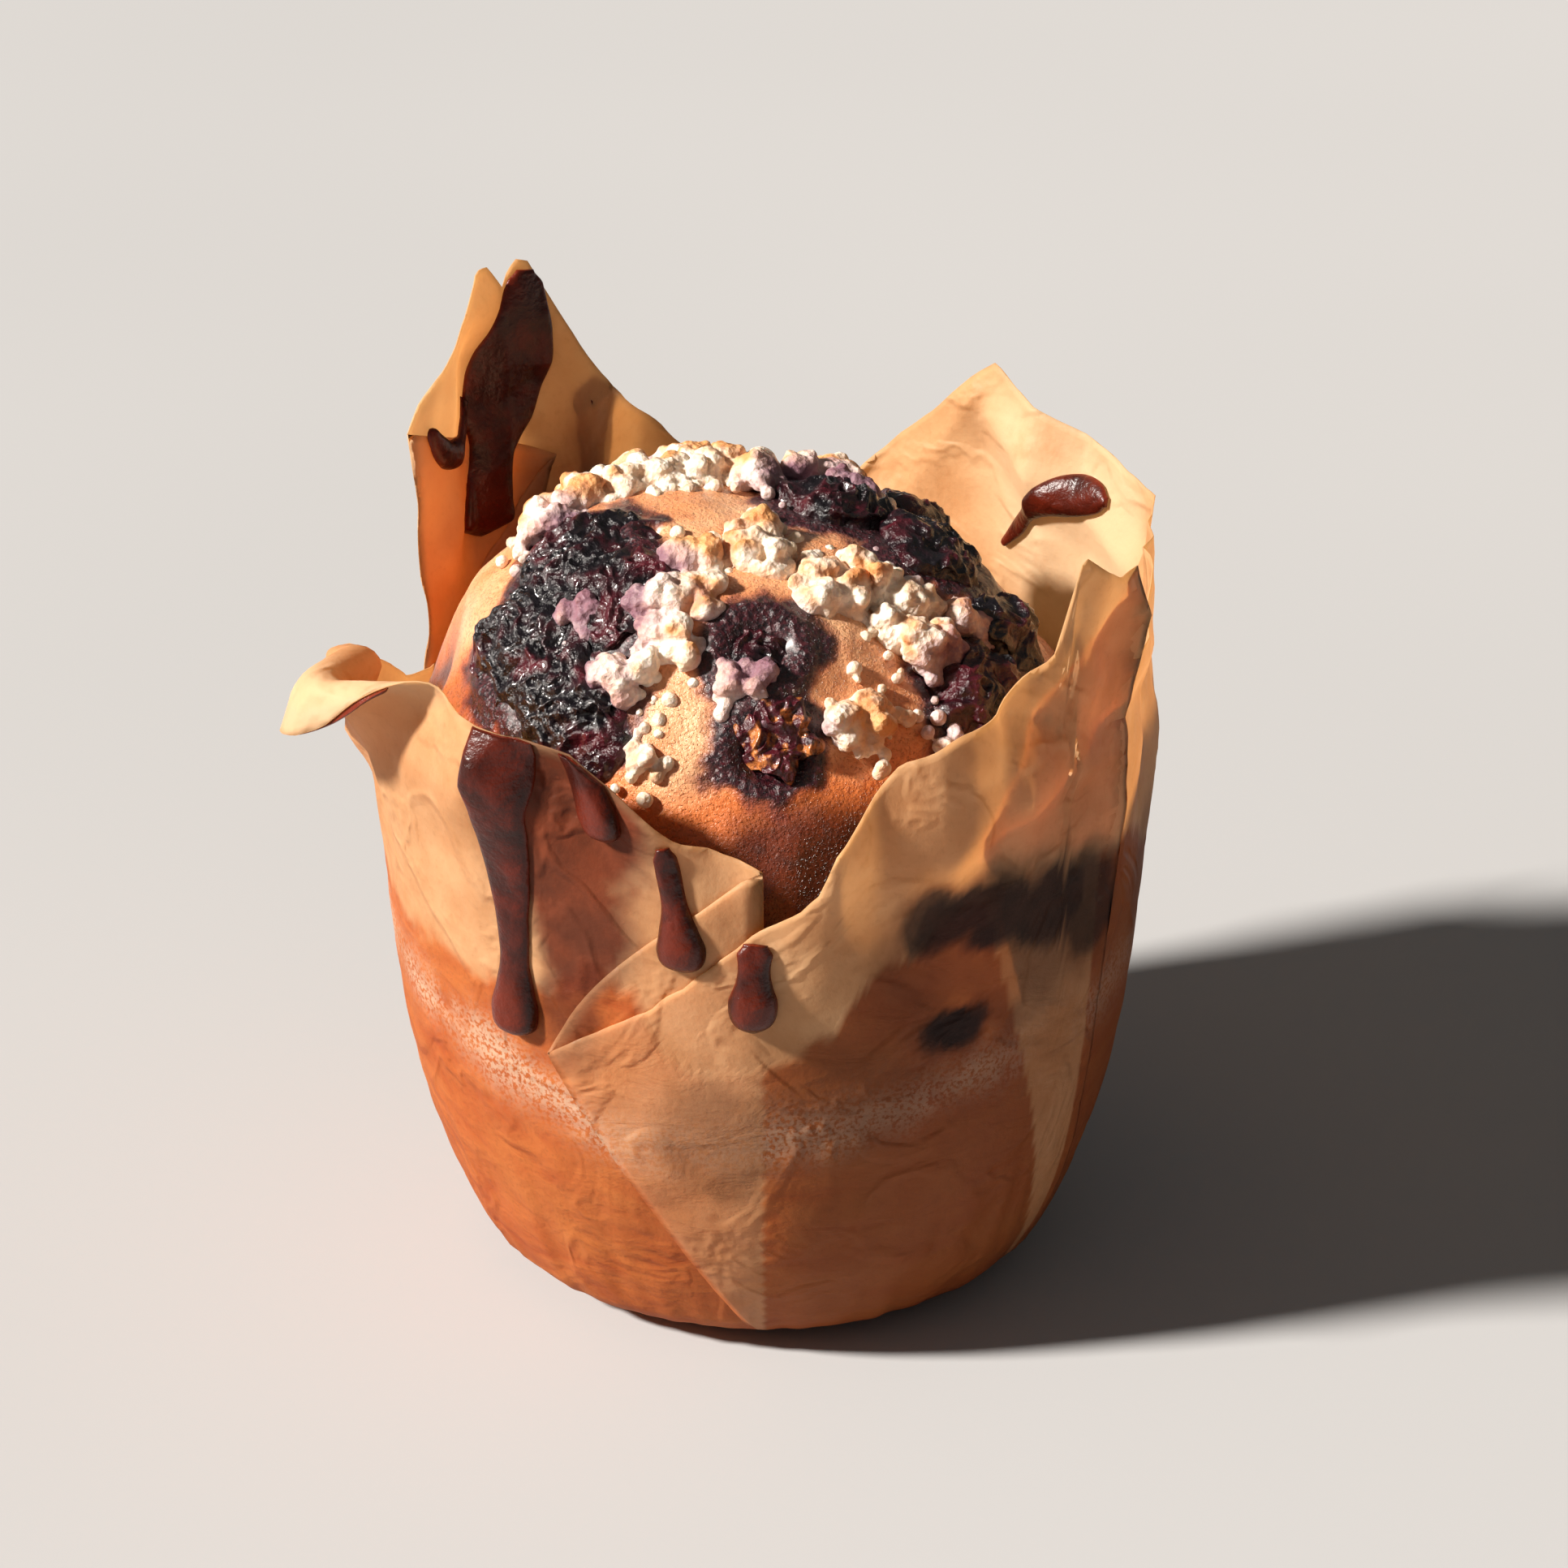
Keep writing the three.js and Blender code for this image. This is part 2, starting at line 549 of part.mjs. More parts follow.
for (const [name, run] of Object.entries(CHOCOLATE)) {
  addNode(name, runSolid(run), CHOCOLATE_LOOK);
}

export default muffin;
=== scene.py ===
# %% [markdown]
# # A blueberry crumble muffin in folded baking paper
#
# The muffin stands on its own flat bottom in a square of brown baking paper. The paper was pressed into
# a round tin, so its four corners stand up as flaps and its slack is folded into four pleats. Burst
# berries and streusel crumbles lie on the dome, and chocolate has run down the paper and set.
#
# The design was made as plain solids first. This script loads them as a fixed frame, builds a fine
# surface in the place of each one, and gives every surface a finish made from nodes.

import bpy
import numpy as np
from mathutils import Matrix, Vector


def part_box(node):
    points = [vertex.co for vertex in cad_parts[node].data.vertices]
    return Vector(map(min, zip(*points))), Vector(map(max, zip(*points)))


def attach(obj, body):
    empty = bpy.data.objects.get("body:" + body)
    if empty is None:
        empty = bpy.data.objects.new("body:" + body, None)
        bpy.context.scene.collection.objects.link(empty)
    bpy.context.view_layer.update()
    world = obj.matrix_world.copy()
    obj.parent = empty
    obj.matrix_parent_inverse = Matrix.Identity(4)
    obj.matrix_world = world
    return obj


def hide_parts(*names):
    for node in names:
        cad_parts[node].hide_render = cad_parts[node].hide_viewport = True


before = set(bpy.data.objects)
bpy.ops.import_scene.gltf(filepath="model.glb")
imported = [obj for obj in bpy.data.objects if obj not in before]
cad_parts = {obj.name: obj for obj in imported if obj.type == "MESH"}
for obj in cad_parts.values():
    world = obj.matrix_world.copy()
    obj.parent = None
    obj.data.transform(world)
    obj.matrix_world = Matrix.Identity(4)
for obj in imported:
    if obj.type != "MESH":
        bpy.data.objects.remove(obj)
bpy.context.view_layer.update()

# %% [markdown]
# ## Units, angles and smooth steps
#
# Every size below is in millimetres, because that is how a baker or a maker reads them. The mesh
# helper turns them into metres at the very end. Places on the paper cup are written as an angle round
# the upright axis, in degrees from +X, and a height.

# %% Small number helpers
MM = 0.001


def smooth(low, high, value):
    """0 below low, 1 above high, and the cubic 3t^2 - 2t^3 between them."""
    t = np.clip((np.asarray(value, float) - low) / (high - low), 0, 1)
    return t * t * (3 - 2 * t)


def blend(a, b, share):
    """a where share is 0, b where share is 1, and a straight mix between."""
    return a + (b - a) * share


def curve(rows, position):
    """The value of a list of (position, value) rows, joined by straight lines."""
    places, values = np.array(rows, float).T
    return np.interp(position, places, values)


def soft_curve(rows, position):
    """The same rows joined by a smooth line: cubic pieces whose slopes are those between neighbours."""
    x, y = np.array(rows, float).T
    slope = np.gradient(y, x)
    position = np.clip(position, x[0], x[-1])
    k = np.clip(np.searchsorted(x, position) - 1, 0, len(x) - 2)
    step = x[k + 1] - x[k]
    t = (position - x[k]) / step
    start = y[k] * (1 + 2 * t) + slope[k] * step * t
    end = y[k + 1] * (3 - 2 * t) - slope[k + 1] * step * (1 - t)
    return start * (1 - t) ** 2 + end * t**2


# %% [markdown]
# ## Noise worked out as arrays
#
# Baked things are never regular. The unevenness here is value noise: each corner of a lattice of unit
# cubes gets a random number, and a point mixes the eight corners of its own cube. The random number
# comes from multiplying the corner's whole-number place by large primes, so it is the same every time.

# %% Noise
def lattice(cell, seed):
    """A random number from 0 to 1 for each lattice corner: its place times primes, mixed bit by bit."""
    h = cell[..., 0] * 73856093 ^ cell[..., 1] * 19349663 ^ cell[..., 2] * 83492791 ^ seed * 2654435761
    h = (h ^ (h >> 13)) * 1274126177 & 0xFFFFFFFF
    return ((h ^ (h >> 16)) & 0xFFFF) / 65535.0


def noise(points, size, seed=0):
    """Value noise from -1 to 1 whose lumps are about size across."""
    p = np.asarray(points, float) / size
    low = np.floor(p).astype(np.int64)
    t = p - low
    t = t * t * (3 - 2 * t)
    total = np.zeros(p.shape[:-1])
    for corner in range(8):
        step = np.array([corner & 1, corner >> 1 & 1, corner >> 2])
        weight = np.prod(np.where(step, t, 1 - t), axis=-1)
        total += weight * lattice(low + step, seed)
    return 2 * total - 1


def rough(points, size, seed=0, octaves=3, fade=0.5):
    """Several noises added, each half the size of the one before and weaker by fade."""
    return sum(noise(points, size / 2**k, seed + k) * fade**k for k in range(octaves))


def ridges(points, size, seed=0):
    """Sharp crests: 1 minus twice the distance of a noise from zero."""
    return 1 - 2 * np.abs(noise(points, size, seed))


# %% [markdown]
# ## From a grid of points to a mesh
#
# Each new piece is a surface: a grid of points with rows and columns. A grid can be closed round its
# columns, like a cup, and its first or last row can be a single point, the pole. The faces are written
# as whole arrays.

# %% Mesh helpers
def grid_faces(rows, columns, closed):
    """The corner numbers of a grid's four-sided faces, row by row; closed joins last column to first."""
    r, c = np.meshgrid(np.arange(rows - 1), np.arange(columns if closed else columns - 1), indexing="ij")
    after = (c + 1) % columns
    corners = [r * columns + c, r * columns + after, (r + 1) * columns + after, (r + 1) * columns + c]
    return np.stack(corners, -1).reshape(-1, 4)


def paint(mesh, marks):
    """Writes numbers on a mesh's points, each row of numbers under its own name."""
    for name, values in marks.items():
        layer = mesh.attributes.new(name, "FLOAT", "POINT")
        layer.data.foreach_set("value", np.asarray(values, np.float32).ravel())


def add_object(name, data):
    """A new object for a mesh, a lamp or a camera, put into the scene."""
    made = bpy.data.objects.new(name, data)
    bpy.context.scene.collection.objects.link(made)
    return made


def make_piece(name, points, faces, marks=None):
    """A mesh object from points in millimetres and faces, with numbers painted on its points."""
    mesh = bpy.data.meshes.new(name)
    flat = np.concatenate([np.asarray(f, np.int32).ravel() for f in faces])
    sides = np.concatenate([np.full(len(f), f.shape[1], np.int32) for f in faces])
    mesh.vertices.add(len(points))
    mesh.vertices.foreach_set("co", (np.asarray(points, np.float32) * MM).ravel())
    mesh.loops.add(len(flat))
    mesh.loops.foreach_set("vertex_index", flat)
    mesh.polygons.add(len(sides))
    mesh.polygons.foreach_set("loop_start", np.concatenate([[0], np.cumsum(sides)[:-1]]).astype(np.int32))
    mesh.polygons.foreach_set("loop_total", sides)
    mesh.polygons.foreach_set("use_smooth", np.ones(len(sides), bool))
    paint(mesh, marks or {})
    mesh.update(calc_edges=True)
    mesh.validate()
    return add_object(name, mesh)


def cup_grid(grid, bottom=None, top=None):
    """Points and faces of a grid closed round its columns, with a pole point under or over it."""
    rows, columns = grid.shape[:2]
    points = [grid.reshape(-1, 3)]
    faces = [grid_faces(rows, columns, True)]
    ring = np.arange(columns)
    after = (ring + 1) % columns
    count = rows * columns
    if bottom is not None:
        points.append(np.reshape(bottom, (1, 3)))
        faces.append(np.stack([after, ring, np.full(columns, count)], -1))
        count += 1
    if top is not None:
        points.append(np.reshape(top, (1, 3)))
        last = (rows - 1) * columns
        faces.append(np.stack([last + ring, last + after, np.full(columns, count)], -1))
    return np.concatenate(points), faces


def with_poles(values, bottom, top):
    """A grid's numbers as one list, with the numbers of its poles at the end."""
    extra = [v for v in (bottom, top) if v is not None]
    return np.concatenate([np.ravel(values), extra])


def settle(piece, slot, *nodes):
    """Ties a finished piece to the frame: it rides on the one body and stands for its CAD nodes."""
    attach(piece, "root")
    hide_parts(*nodes)
    return piece


def box_mm(node):
    """Middle and size of a CAD node, in millimetres."""
    low, high = (np.array(v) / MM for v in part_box(node))
    return (low + high) / 2, high - low


# %% [markdown]
# ## Shader maths as expressions
#
# A finish is a small calculation on colours and numbers. Written as a node tree it is hard to read, so
# one class wraps a node's output and overloads the arithmetic signs: each sign adds a Math node. Any
# other node comes from `node`, which takes the node's type, its settings and its inputs.

# %% Shader helpers
class Value:
    """A number that comes out of a node, so that Python arithmetic adds Math nodes."""

    def __init__(self, finish, socket):
        self.finish = finish
        self.socket = socket

    def _math(self, operation, *inputs):
        return self.finish.node("ShaderNodeMath", {"operation": operation}, *inputs)

    def __add__(self, other):
        return self._math("ADD", self, other)

    def __mul__(self, other):
        return self._math("MULTIPLY", self, other)

    def __sub__(self, other):
        return self._math("SUBTRACT", self, other)

    def __rsub__(self, other):
        return self._math("SUBTRACT", other, self)

    __radd__ = __add__
    __rmul__ = __mul__

    def above(self, low, high):
        """0 below low and 1 above high, smoothly; turned round when high is under low."""
        settings = {"interpolation_type": "SMOOTHSTEP"}
        return self.finish.node("ShaderNodeMapRange", settings, self, low, high, 0.0, 1.0)


class Finish:
    """A material being built: node adds any node, and surface plugs the results into the shader."""

    def __init__(self, name):
        self.material = bpy.data.materials.new(name)
        self.material.use_nodes = True
        self.tree = self.material.node_tree
        self.shader = self.tree.nodes["Principled BSDF"]
        self.output = self.tree.nodes["Material Output"]
        coordinates = self.tree.nodes.new("ShaderNodeTexCoord")
        self.place = Value(self, coordinates.outputs["Object"])

    def link(self, socket, value):
        if isinstance(value, Value):
            self.tree.links.new(value.socket, socket)
        elif value is not None:
            socket.default_value = value

    def node(self, kind, settings=None, *inputs, out=0, **named):
        made = self.tree.nodes.new(kind)
        for key, value in (settings or {}).items():
            setattr(made, key, value)
        for socket, value in zip(made.inputs, inputs):
            self.link(socket, value)
        for key, value in named.items():
            self.link(made.inputs[key], value)
        return Value(self, made.outputs[out])

    def noise(self, scale, detail, roughness, place=None, distortion=0.0):
        """A noise texture from 0 to 1; scale is in lumps per metre."""
        inputs = {"Vector": place or self.place, "Scale": scale, "Detail": detail}
        return self.node("ShaderNodeTexNoise", None, Roughness=roughness, Distortion=distortion, **inputs)

    def cells(self, scale):
        """The distance to the nearest of many scattered points; scale is in points per metre."""
        return self.node("ShaderNodeTexVoronoi", None, Vector=self.place, Scale=scale)

    def stretch(self, x, y, z):
        """The object's place with each axis scaled, so that a pattern runs along the others."""
        return self.node("ShaderNodeMapping", None, Vector=self.place, Scale=(x, y, z))

    def attribute(self, name):
        """A number painted on the mesh's points."""
        return self.node("ShaderNodeAttribute", {"attribute_name": name}, out="Fac")

    def mix(self, share, a, b):
        """Colour a where share is 0 and b where share is 1."""
        made = self.tree.nodes.new("ShaderNodeMix")
        made.data_type = "RGBA"
        self.link(made.inputs[0], share)
        self.link(made.inputs[6], a)
        self.link(made.inputs[7], b)
        return Value(self, made.outputs[2])

    def bump(self, height, distance, strength):
        """A Bump node: height times distance in metres tilts the light on the surface."""
        made = self.tree.nodes.new("ShaderNodeBump")
        made.inputs["Strength"].default_value = strength
        made.inputs["Distance"].default_value = distance
        self.link(made.inputs["Height"], height)
        return Value(self, made.outputs[0])

    def surface(self, **sockets):
        """Sets the shader's own sockets by name, with _ for a space."""
        for key, value in sockets.items():
            self.link(self.shader.inputs[key.replace("_", " ")], value)
        return self.material


def colour(red, green, blue):
    """A colour as a screen shows it, 0 to 255, turned into the linear numbers that shaders use."""
    c = np.array([red, green, blue]) / 255
    linear = np.where(c <= 0.04045, c / 12.92, ((c + 0.055) / 1.055) ** 2.4)
    return (*linear.tolist(), 1.0)


# %% [markdown]
# ## The camera
#
# The muffin is seen from the front and a little above, with a long lens, so it hardly narrows towards
# the back. The camera aims near the middle of the object's height.

# %% Camera
CAMERA_DISTANCE = 520
CAMERA_RISE = np.radians(27)
CAMERA_AIM = np.array([1.9, 0.0, 47.6])
SENSOR = 36.0
VIEW_WIDTH = 152.1  # how much of the scene fits across the picture at the aim, in millimetres

toward = np.array([0.0, -np.cos(CAMERA_RISE), np.sin(CAMERA_RISE)])
camera = add_object("camera", bpy.data.cameras.new("camera"))
camera.data.sensor_width = SENSOR
camera.data.lens = SENSOR * CAMERA_DISTANCE / VIEW_WIDTH
camera.data.clip_start = 0.01
camera.location = (CAMERA_AIM + toward * CAMERA_DISTANCE) * MM
camera.rotation_euler = (np.pi / 2 - CAMERA_RISE, 0, 0)
bpy.context.scene.camera = camera
print("camera: lens", round(camera.data.lens, 1), "mm")

# %% [markdown]
# ## The wall of the paper cup
#
# Crumb, paper and chocolate all follow one wall. Its radius starts at the round bottom edge and swells
# upwards, quickly at first and then hardly at all: an exponential curve gives that.

# %% The wall
BASE_RADIUS = 26.0
CORNER = 4.0  # how far the rounded bottom corner reaches in and up
WALL_FLARE = 12.2
FLARE_HEIGHT = 16.0
UPPER_RADIUS = 37.5  # turns an angle on the upper wall into millimetres along the paper
NOISE_RADIUS = 38.0  # of the plain cylinder that the paper's noise is read on


def wall_radius(z):
    """26 mm, plus a swell of 12.2 mm * (1 - e^(-z/16)), less a parabola that rounds the bottom corner."""
    z = np.maximum(z, 0)
    swell = WALL_FLARE * (1 - np.exp(-z / FLARE_HEIGHT))
    return BASE_RADIUS + swell - CORNER * np.clip(1 - z / CORNER, 0, 1) ** 2


def around(angle, radius, z):
    """Points from an angle in degrees, a radius and a height."""
    a = np.radians(angle)
    return np.stack(np.broadcast_arrays(radius * np.cos(a), radius * np.sin(a), z), -1)

# %% [markdown]
# ## The folded sheet of paper
#
# The wrapper is one square sheet. Going once round the cup, the paper runs along a corner panel to an
# outer fold, doubles back behind itself to an inner fold, and runs on along the next panel: four
# panels and four hidden flaps. One grid follows the paper all the way, so the folds are real folds.
# The front-right and back-left panels lie outside at both of their pleats, the other two inside.
#
# A fold is a straight line up the wall, so its angle grows evenly with height.

# %% Folds and rims
FOLDS = {  # angle at the bottom, and degrees it leans for each millimetre of height
    "front outer": (-90, -0.883),
    "right outer": (-32.5, -0.05),
    "right inner": (-32.5, -0.5),
    "back inner": (105, 0.0),
    "back outer": (105, -0.42),
    "left outer": (155, 0.0),
    "left inner": (155, -0.45),
    "front inner": (270, 0.0),
    "front outer again": (270, -0.883),
}


def fold_angle(name, z):
    """The angle of a fold at a height: a straight line up the wall."""
    start, lean = FOLDS[name]
    return start + lean * np.asarray(z, float)


FRONT_RIGHT_RIM = [
    (-121.8, 36), (-116, 38.6), (-106, 42.6), (-98, 47.6), (-90.6, 51.7), (-85, 54.6), (-82.4, 57),
    (-80.8, 60.8), (-76, 65.4), (-71.6, 68.5), (-64, 70.8), (-58, 71.8), (-53, 73.6), (-49.4, 74.8),
    (-47.4, 76), (-47, 80), (-46.6, 84), (-45.4, 85), (-42, 82.8), (-38, 81.2), (-31, 80.4),
]
BACK_RIGHT_RIM = [
    (-60, 58), (-45, 64), (-27, 71), (-10, 75), (-1.4, 74), (10, 73), (20, 73.4), (27, 74),
    (40, 75.4), (50, 77), (54.6, 78.4), (58, 76.6), (65, 71.5), (76.6, 63.6), (90, 55), (105, 50),
]
BACK_LEFT_RIM = [
    (84, 50), (95, 61), (105.4, 69.1), (112, 73.4), (117, 77.4), (121, 82), (124, 86.4), (126, 89),
    (128, 89.6), (129.6, 88.6), (130.8, 87), (132, 88.4), (133.6, 90), (136, 90), (138.6, 87.4), (142, 85),
    (148, 82), (152, 80), (155, 77.4),
]
FRONT_LEFT_RIM = [
    (124.1, 68.8), (134, 61), (145, 54.4), (155, 52.6), (163, 54), (170, 58), (178, 63.6), (186, 68.6),
    (194, 73), (201, 75.8), (208, 75.4), (215, 72.4), (222, 69.2), (234, 68.2), (243, 67.4), (250, 64.4),
    (254, 62.5), (258, 60.2), (264, 58.6), (270, 57.5),
]

# Each stretch of the paper: the fold it starts at, the fold it ends at, on which side of the pleats
# it lies at each end (1 outside, -1 inside), how many columns it gets, and its rim if it is a panel.
STRETCHES = [
    ("front outer", "right outer", 1, 1, 84, FRONT_RIGHT_RIM),
    ("right outer", "right inner", 1, -1, 14, None),
    ("right inner", "back inner", -1, -1, 128, BACK_RIGHT_RIM),
    ("back inner", "back outer", -1, 1, 12, None),
    ("back outer", "left outer", 1, 1, 76, BACK_LEFT_RIM),
    ("left outer", "left inner", 1, -1, 14, None),
    ("left inner", "front inner", -1, -1, 128, FRONT_LEFT_RIM),
    ("front inner", "front outer again", -1, 1, 16, None),
]
SLIVER = 0.12  # least width of a hidden flap, in degrees, where it shrinks to nothing at the bottom

RIM_AT = {}  # the height at which each fold meets the rim
for first, last, _, _, _, rim in STRETCHES:
    if rim is not None:
        RIM_AT[first], RIM_AT[last] = rim[0][1], rim[-1][1]
RIM_AT["front outer again"] = RIM_AT["front outer"]


def stretch_columns(first, last, count, rim):
    """For each column of a stretch: its share of the way between the folds, and its rim height."""
    if rim is None:
        share = np.linspace(0, 1, count, endpoint=False)
        return share, blend(RIM_AT[first], RIM_AT[last], share)
    top = np.linspace(rim[0][0], rim[-1][0], count, endpoint=False)
    height = curve(rim, top)
    start, end = fold_angle(first, height), fold_angle(last, height)
    return (top - start) / (end - start), height


print("paper: columns", sum(s[4] for s in STRETCHES))

# %% [markdown]
# ## Where the paper lies
#
# Paper that was crumpled and baked isn't a clean cone. Above the crumb it sways in and out, it has
# sharp creases, each corner has the fold line of the pressed square, and low down it is drawn into
# small upright puckers. All of that is one number: how far the sheet stands off the wall. Chocolate
# uses the same number, so it lies on the paper everywhere.

# %% The sheet's place
LAYER_GAP = 0.34  # half the distance between an outer and an inner layer
CORNER_LINES = [(-42, 1), (56, 1), (131, 1), (205, 0.4)]  # the pressed corner creases: angle, strength
CURL_LINE = [(163, 54), (170, 57), (180, 60), (190, 63.2), (205, 65.2), (223, 69.2)]
CURL_RADIUS = 2.5
CURL_TURN = np.radians(160)
CREASES = 26
CREASE_WIDTH = 4.0
CREASE_DEPTHS = (1.1, 2.3)
CREASE_REACH = 34  # how far from the middle of the upper wall a crease's plane may pass
CREASE_MIDDLE = np.array([0.0, 0.0, 62.0])
FREE_HEIGHTS = (40, 66)  # where the sheet begins to sway freely, and where it sways fully


def turn_apart(a, b):
    """The smaller turn between two angles in degrees, from -180 to 180."""
    return (np.asarray(a, float) - b + 180) % 360 - 180


crease_draw = np.random.default_rng(8)
crease_normals = crease_draw.normal(0, 1, (CREASES, 3)) * np.array([1, 1, 0.75])
crease_normals /= np.linalg.norm(crease_normals, axis=1, keepdims=True)
crease_places = crease_draw.uniform(-CREASE_REACH, CREASE_REACH, CREASES)
crease_depths = crease_draw.uniform(*CREASE_DEPTHS, CREASES) * crease_draw.choice([-1, 1], CREASES)


def creases(p):
    """Straight creases: each is the cut of a plane with the wall, raised like a tent that fades to
    nothing at the crease's width, and only along a part of the plane."""
    total = np.zeros(p.shape[:-1])
    from_middle = p - CREASE_MIDDLE
    for k in range(CREASES):
        distance = np.abs(from_middle @ crease_normals[k] - crease_places[k])
        tent = np.clip(1 - distance / CREASE_WIDTH, 0, 1)
        total += crease_depths[k] * tent * smooth(-0.2, 0.4, noise(p, 24, 70 + k))
    return total


def paper_offset(angle, z, layer):
    """How far the sheet's middle stands off the wall, in millimetres: the layer's gap, plus sway, creases
    and fine waves where the sheet is free, plus puckers low down, plus ridges at corners and folds."""
    p = around(angle, NOISE_RADIUS, z)
    free = smooth(*FREE_HEIGHTS, z)
    sway = 1.5 * noise(p, 21, 3) + 0.5 * noise(p, 10, 4) + creases(p)
    fine = 0.35 * np.abs(noise(p, 9, 5)) + 0.16 * np.abs(noise(p, 4.5, 6))
    level = np.stack([p[..., 0] / 9, p[..., 1] / 9, p[..., 2] / 2.1], -1)
    wrinkle = 0.14 * np.abs(noise(level + noise(p, 8, 9)[..., None], 1.0, 10)) * (1 - smooth(38, 50, z))
    upright = np.stack([p[..., 0] / 2.4, p[..., 1] / 2.4, p[..., 2] / 16], -1)
    pucker = 0.3 * noise(upright, 1.0, 7) * (1 - smooth(8, 30, z)) * smooth(0, 3, z)
    offset = -0.1 + layer * LAYER_GAP * smooth(2, 14, z) + free * (sway + fine) + pucker
    offset = offset + (0.25 * fine - wrinkle) * smooth(2, 8, z)
    for line, strength in CORNER_LINES:
        ridge = np.clip(1 - np.abs(turn_apart(angle, line)) / 13, 0, 1)
        offset = offset + 1.5 * strength * ridge * smooth(52, 74, z)
    front, right = (fold_angle("front outer", z), 14, 0.8, 12, 34), (-31, 8, 1.0, 30, 60)
    for middle, half_width, swell, low, high in (front, right):
        near = np.clip(1 - np.abs(turn_apart(angle, middle)) / half_width, 0, 1)
        offset = offset + swell * near**2 * np.clip(layer, 0, 1) * smooth(low, high, z)
    return offset


def paper_point(angle, z, layer, lift=0.0):
    """A point of the sheet: wall radius plus its offset, bent outwards past the curl line, plus lift."""
    angle, z, layer, lift = np.broadcast_arrays(*(np.asarray(v, float) for v in (angle, z, layer, lift)))
    turned = angle % 360
    inside = (turned > 163) & (turned < 223)
    line = np.where(inside, curve(CURL_LINE, turned), 1e3)
    past = np.maximum(z - line, 0)
    turn = np.minimum(past / CURL_RADIUS, CURL_TURN)
    straight = past - turn * CURL_RADIUS
    foot = np.minimum(z, line)
    out = CURL_RADIUS * (1 - np.cos(turn)) + straight * np.sin(turn) + lift * np.cos(turn)
    up = CURL_RADIUS * np.sin(turn) + straight * np.cos(turn) - lift * np.sin(turn)
    radius = wall_radius(foot) + paper_offset(angle, foot, layer) + out
    return around(angle, radius, foot + up)


# %% [markdown]
# ## The paper's grid
#
# The rows start at the middle of the bottom, cross it, go round the bottom edge and climb to the rim.
# Every column climbs to its own rim height, so the torn edges and the standing corners come from the
# rows being stretched, and the sheet stays one piece.

# %% Paper grid
PAPER_THICKNESS = 0.12
BOTTOM_RADII = [1.5, 5, 9, 13, 16.5, 19.5, 21.2]
EDGE_HEIGHTS = [0.0, 0.35, 0.9, 1.7, 2.7]
WALL_ROWS = 84
WALL_START = 4.0
TURN_SHARE = 0.12  # share of a hidden flap's width, at each end, in which the paper turns round its fold

share, rim, layer, fold_a, fold_b = [], [], [], [], []
for fold_from, fold_to, side_from, side_to, count, panel_rim in STRETCHES:
    way, top = stretch_columns(fold_from, fold_to, count, panel_rim)
    across = np.linspace(0, 1, count, endpoint=False)
    turned = 0.5 * smooth(0, TURN_SHARE, across) + 0.5 * smooth(1 - TURN_SHARE, 1, across)
    share.append(way)
    rim.append(top)
    layer.append(blend(side_from, side_to, turned))
    fold_a += [FOLDS[fold_from]] * count
    fold_b += [FOLDS[fold_to]] * count
share, rim, layer = (np.concatenate(v) for v in (share, rim, layer))
fold_a, fold_b = np.array(fold_a), np.array(fold_b)
torn = 0.35 * noise(np.stack([share * 40, layer, rim], -1), 2.0, 11)
rim = rim + torn * (np.abs(layer) > 0.999)


def column_angle(z):
    """The angle of every column at height z: its share of the way from its first fold to its last."""
    a = fold_a[:, 0] + fold_a[:, 1] * z
    b = fold_b[:, 0] + fold_b[:, 1] * z
    b = np.where(fold_a[:, 0] == fold_b[:, 0], b - SLIVER, b)
    return a + share * (b - a)


heights = [np.full(len(share), h) for h in EDGE_HEIGHTS]
heights += [blend(WALL_START, rim, t) for t in np.linspace(0, 1, WALL_ROWS)]
heights = np.array(heights)
angles = np.array([column_angle(h) for h in heights])
layers = np.broadcast_to(layer, heights.shape)
wall = paper_point(angles, heights, layers)
wall[..., 2] += PAPER_THICKNESS / 2
bottom = np.array([around(column_angle(0.0), r, PAPER_THICKNESS / 2) for r in BOTTOM_RADII])
paper_grid = np.concatenate([bottom, wall])
print("paper: grid", paper_grid.shape[:2], "height", round(float(paper_grid[..., 2].max()), 1), "mm")
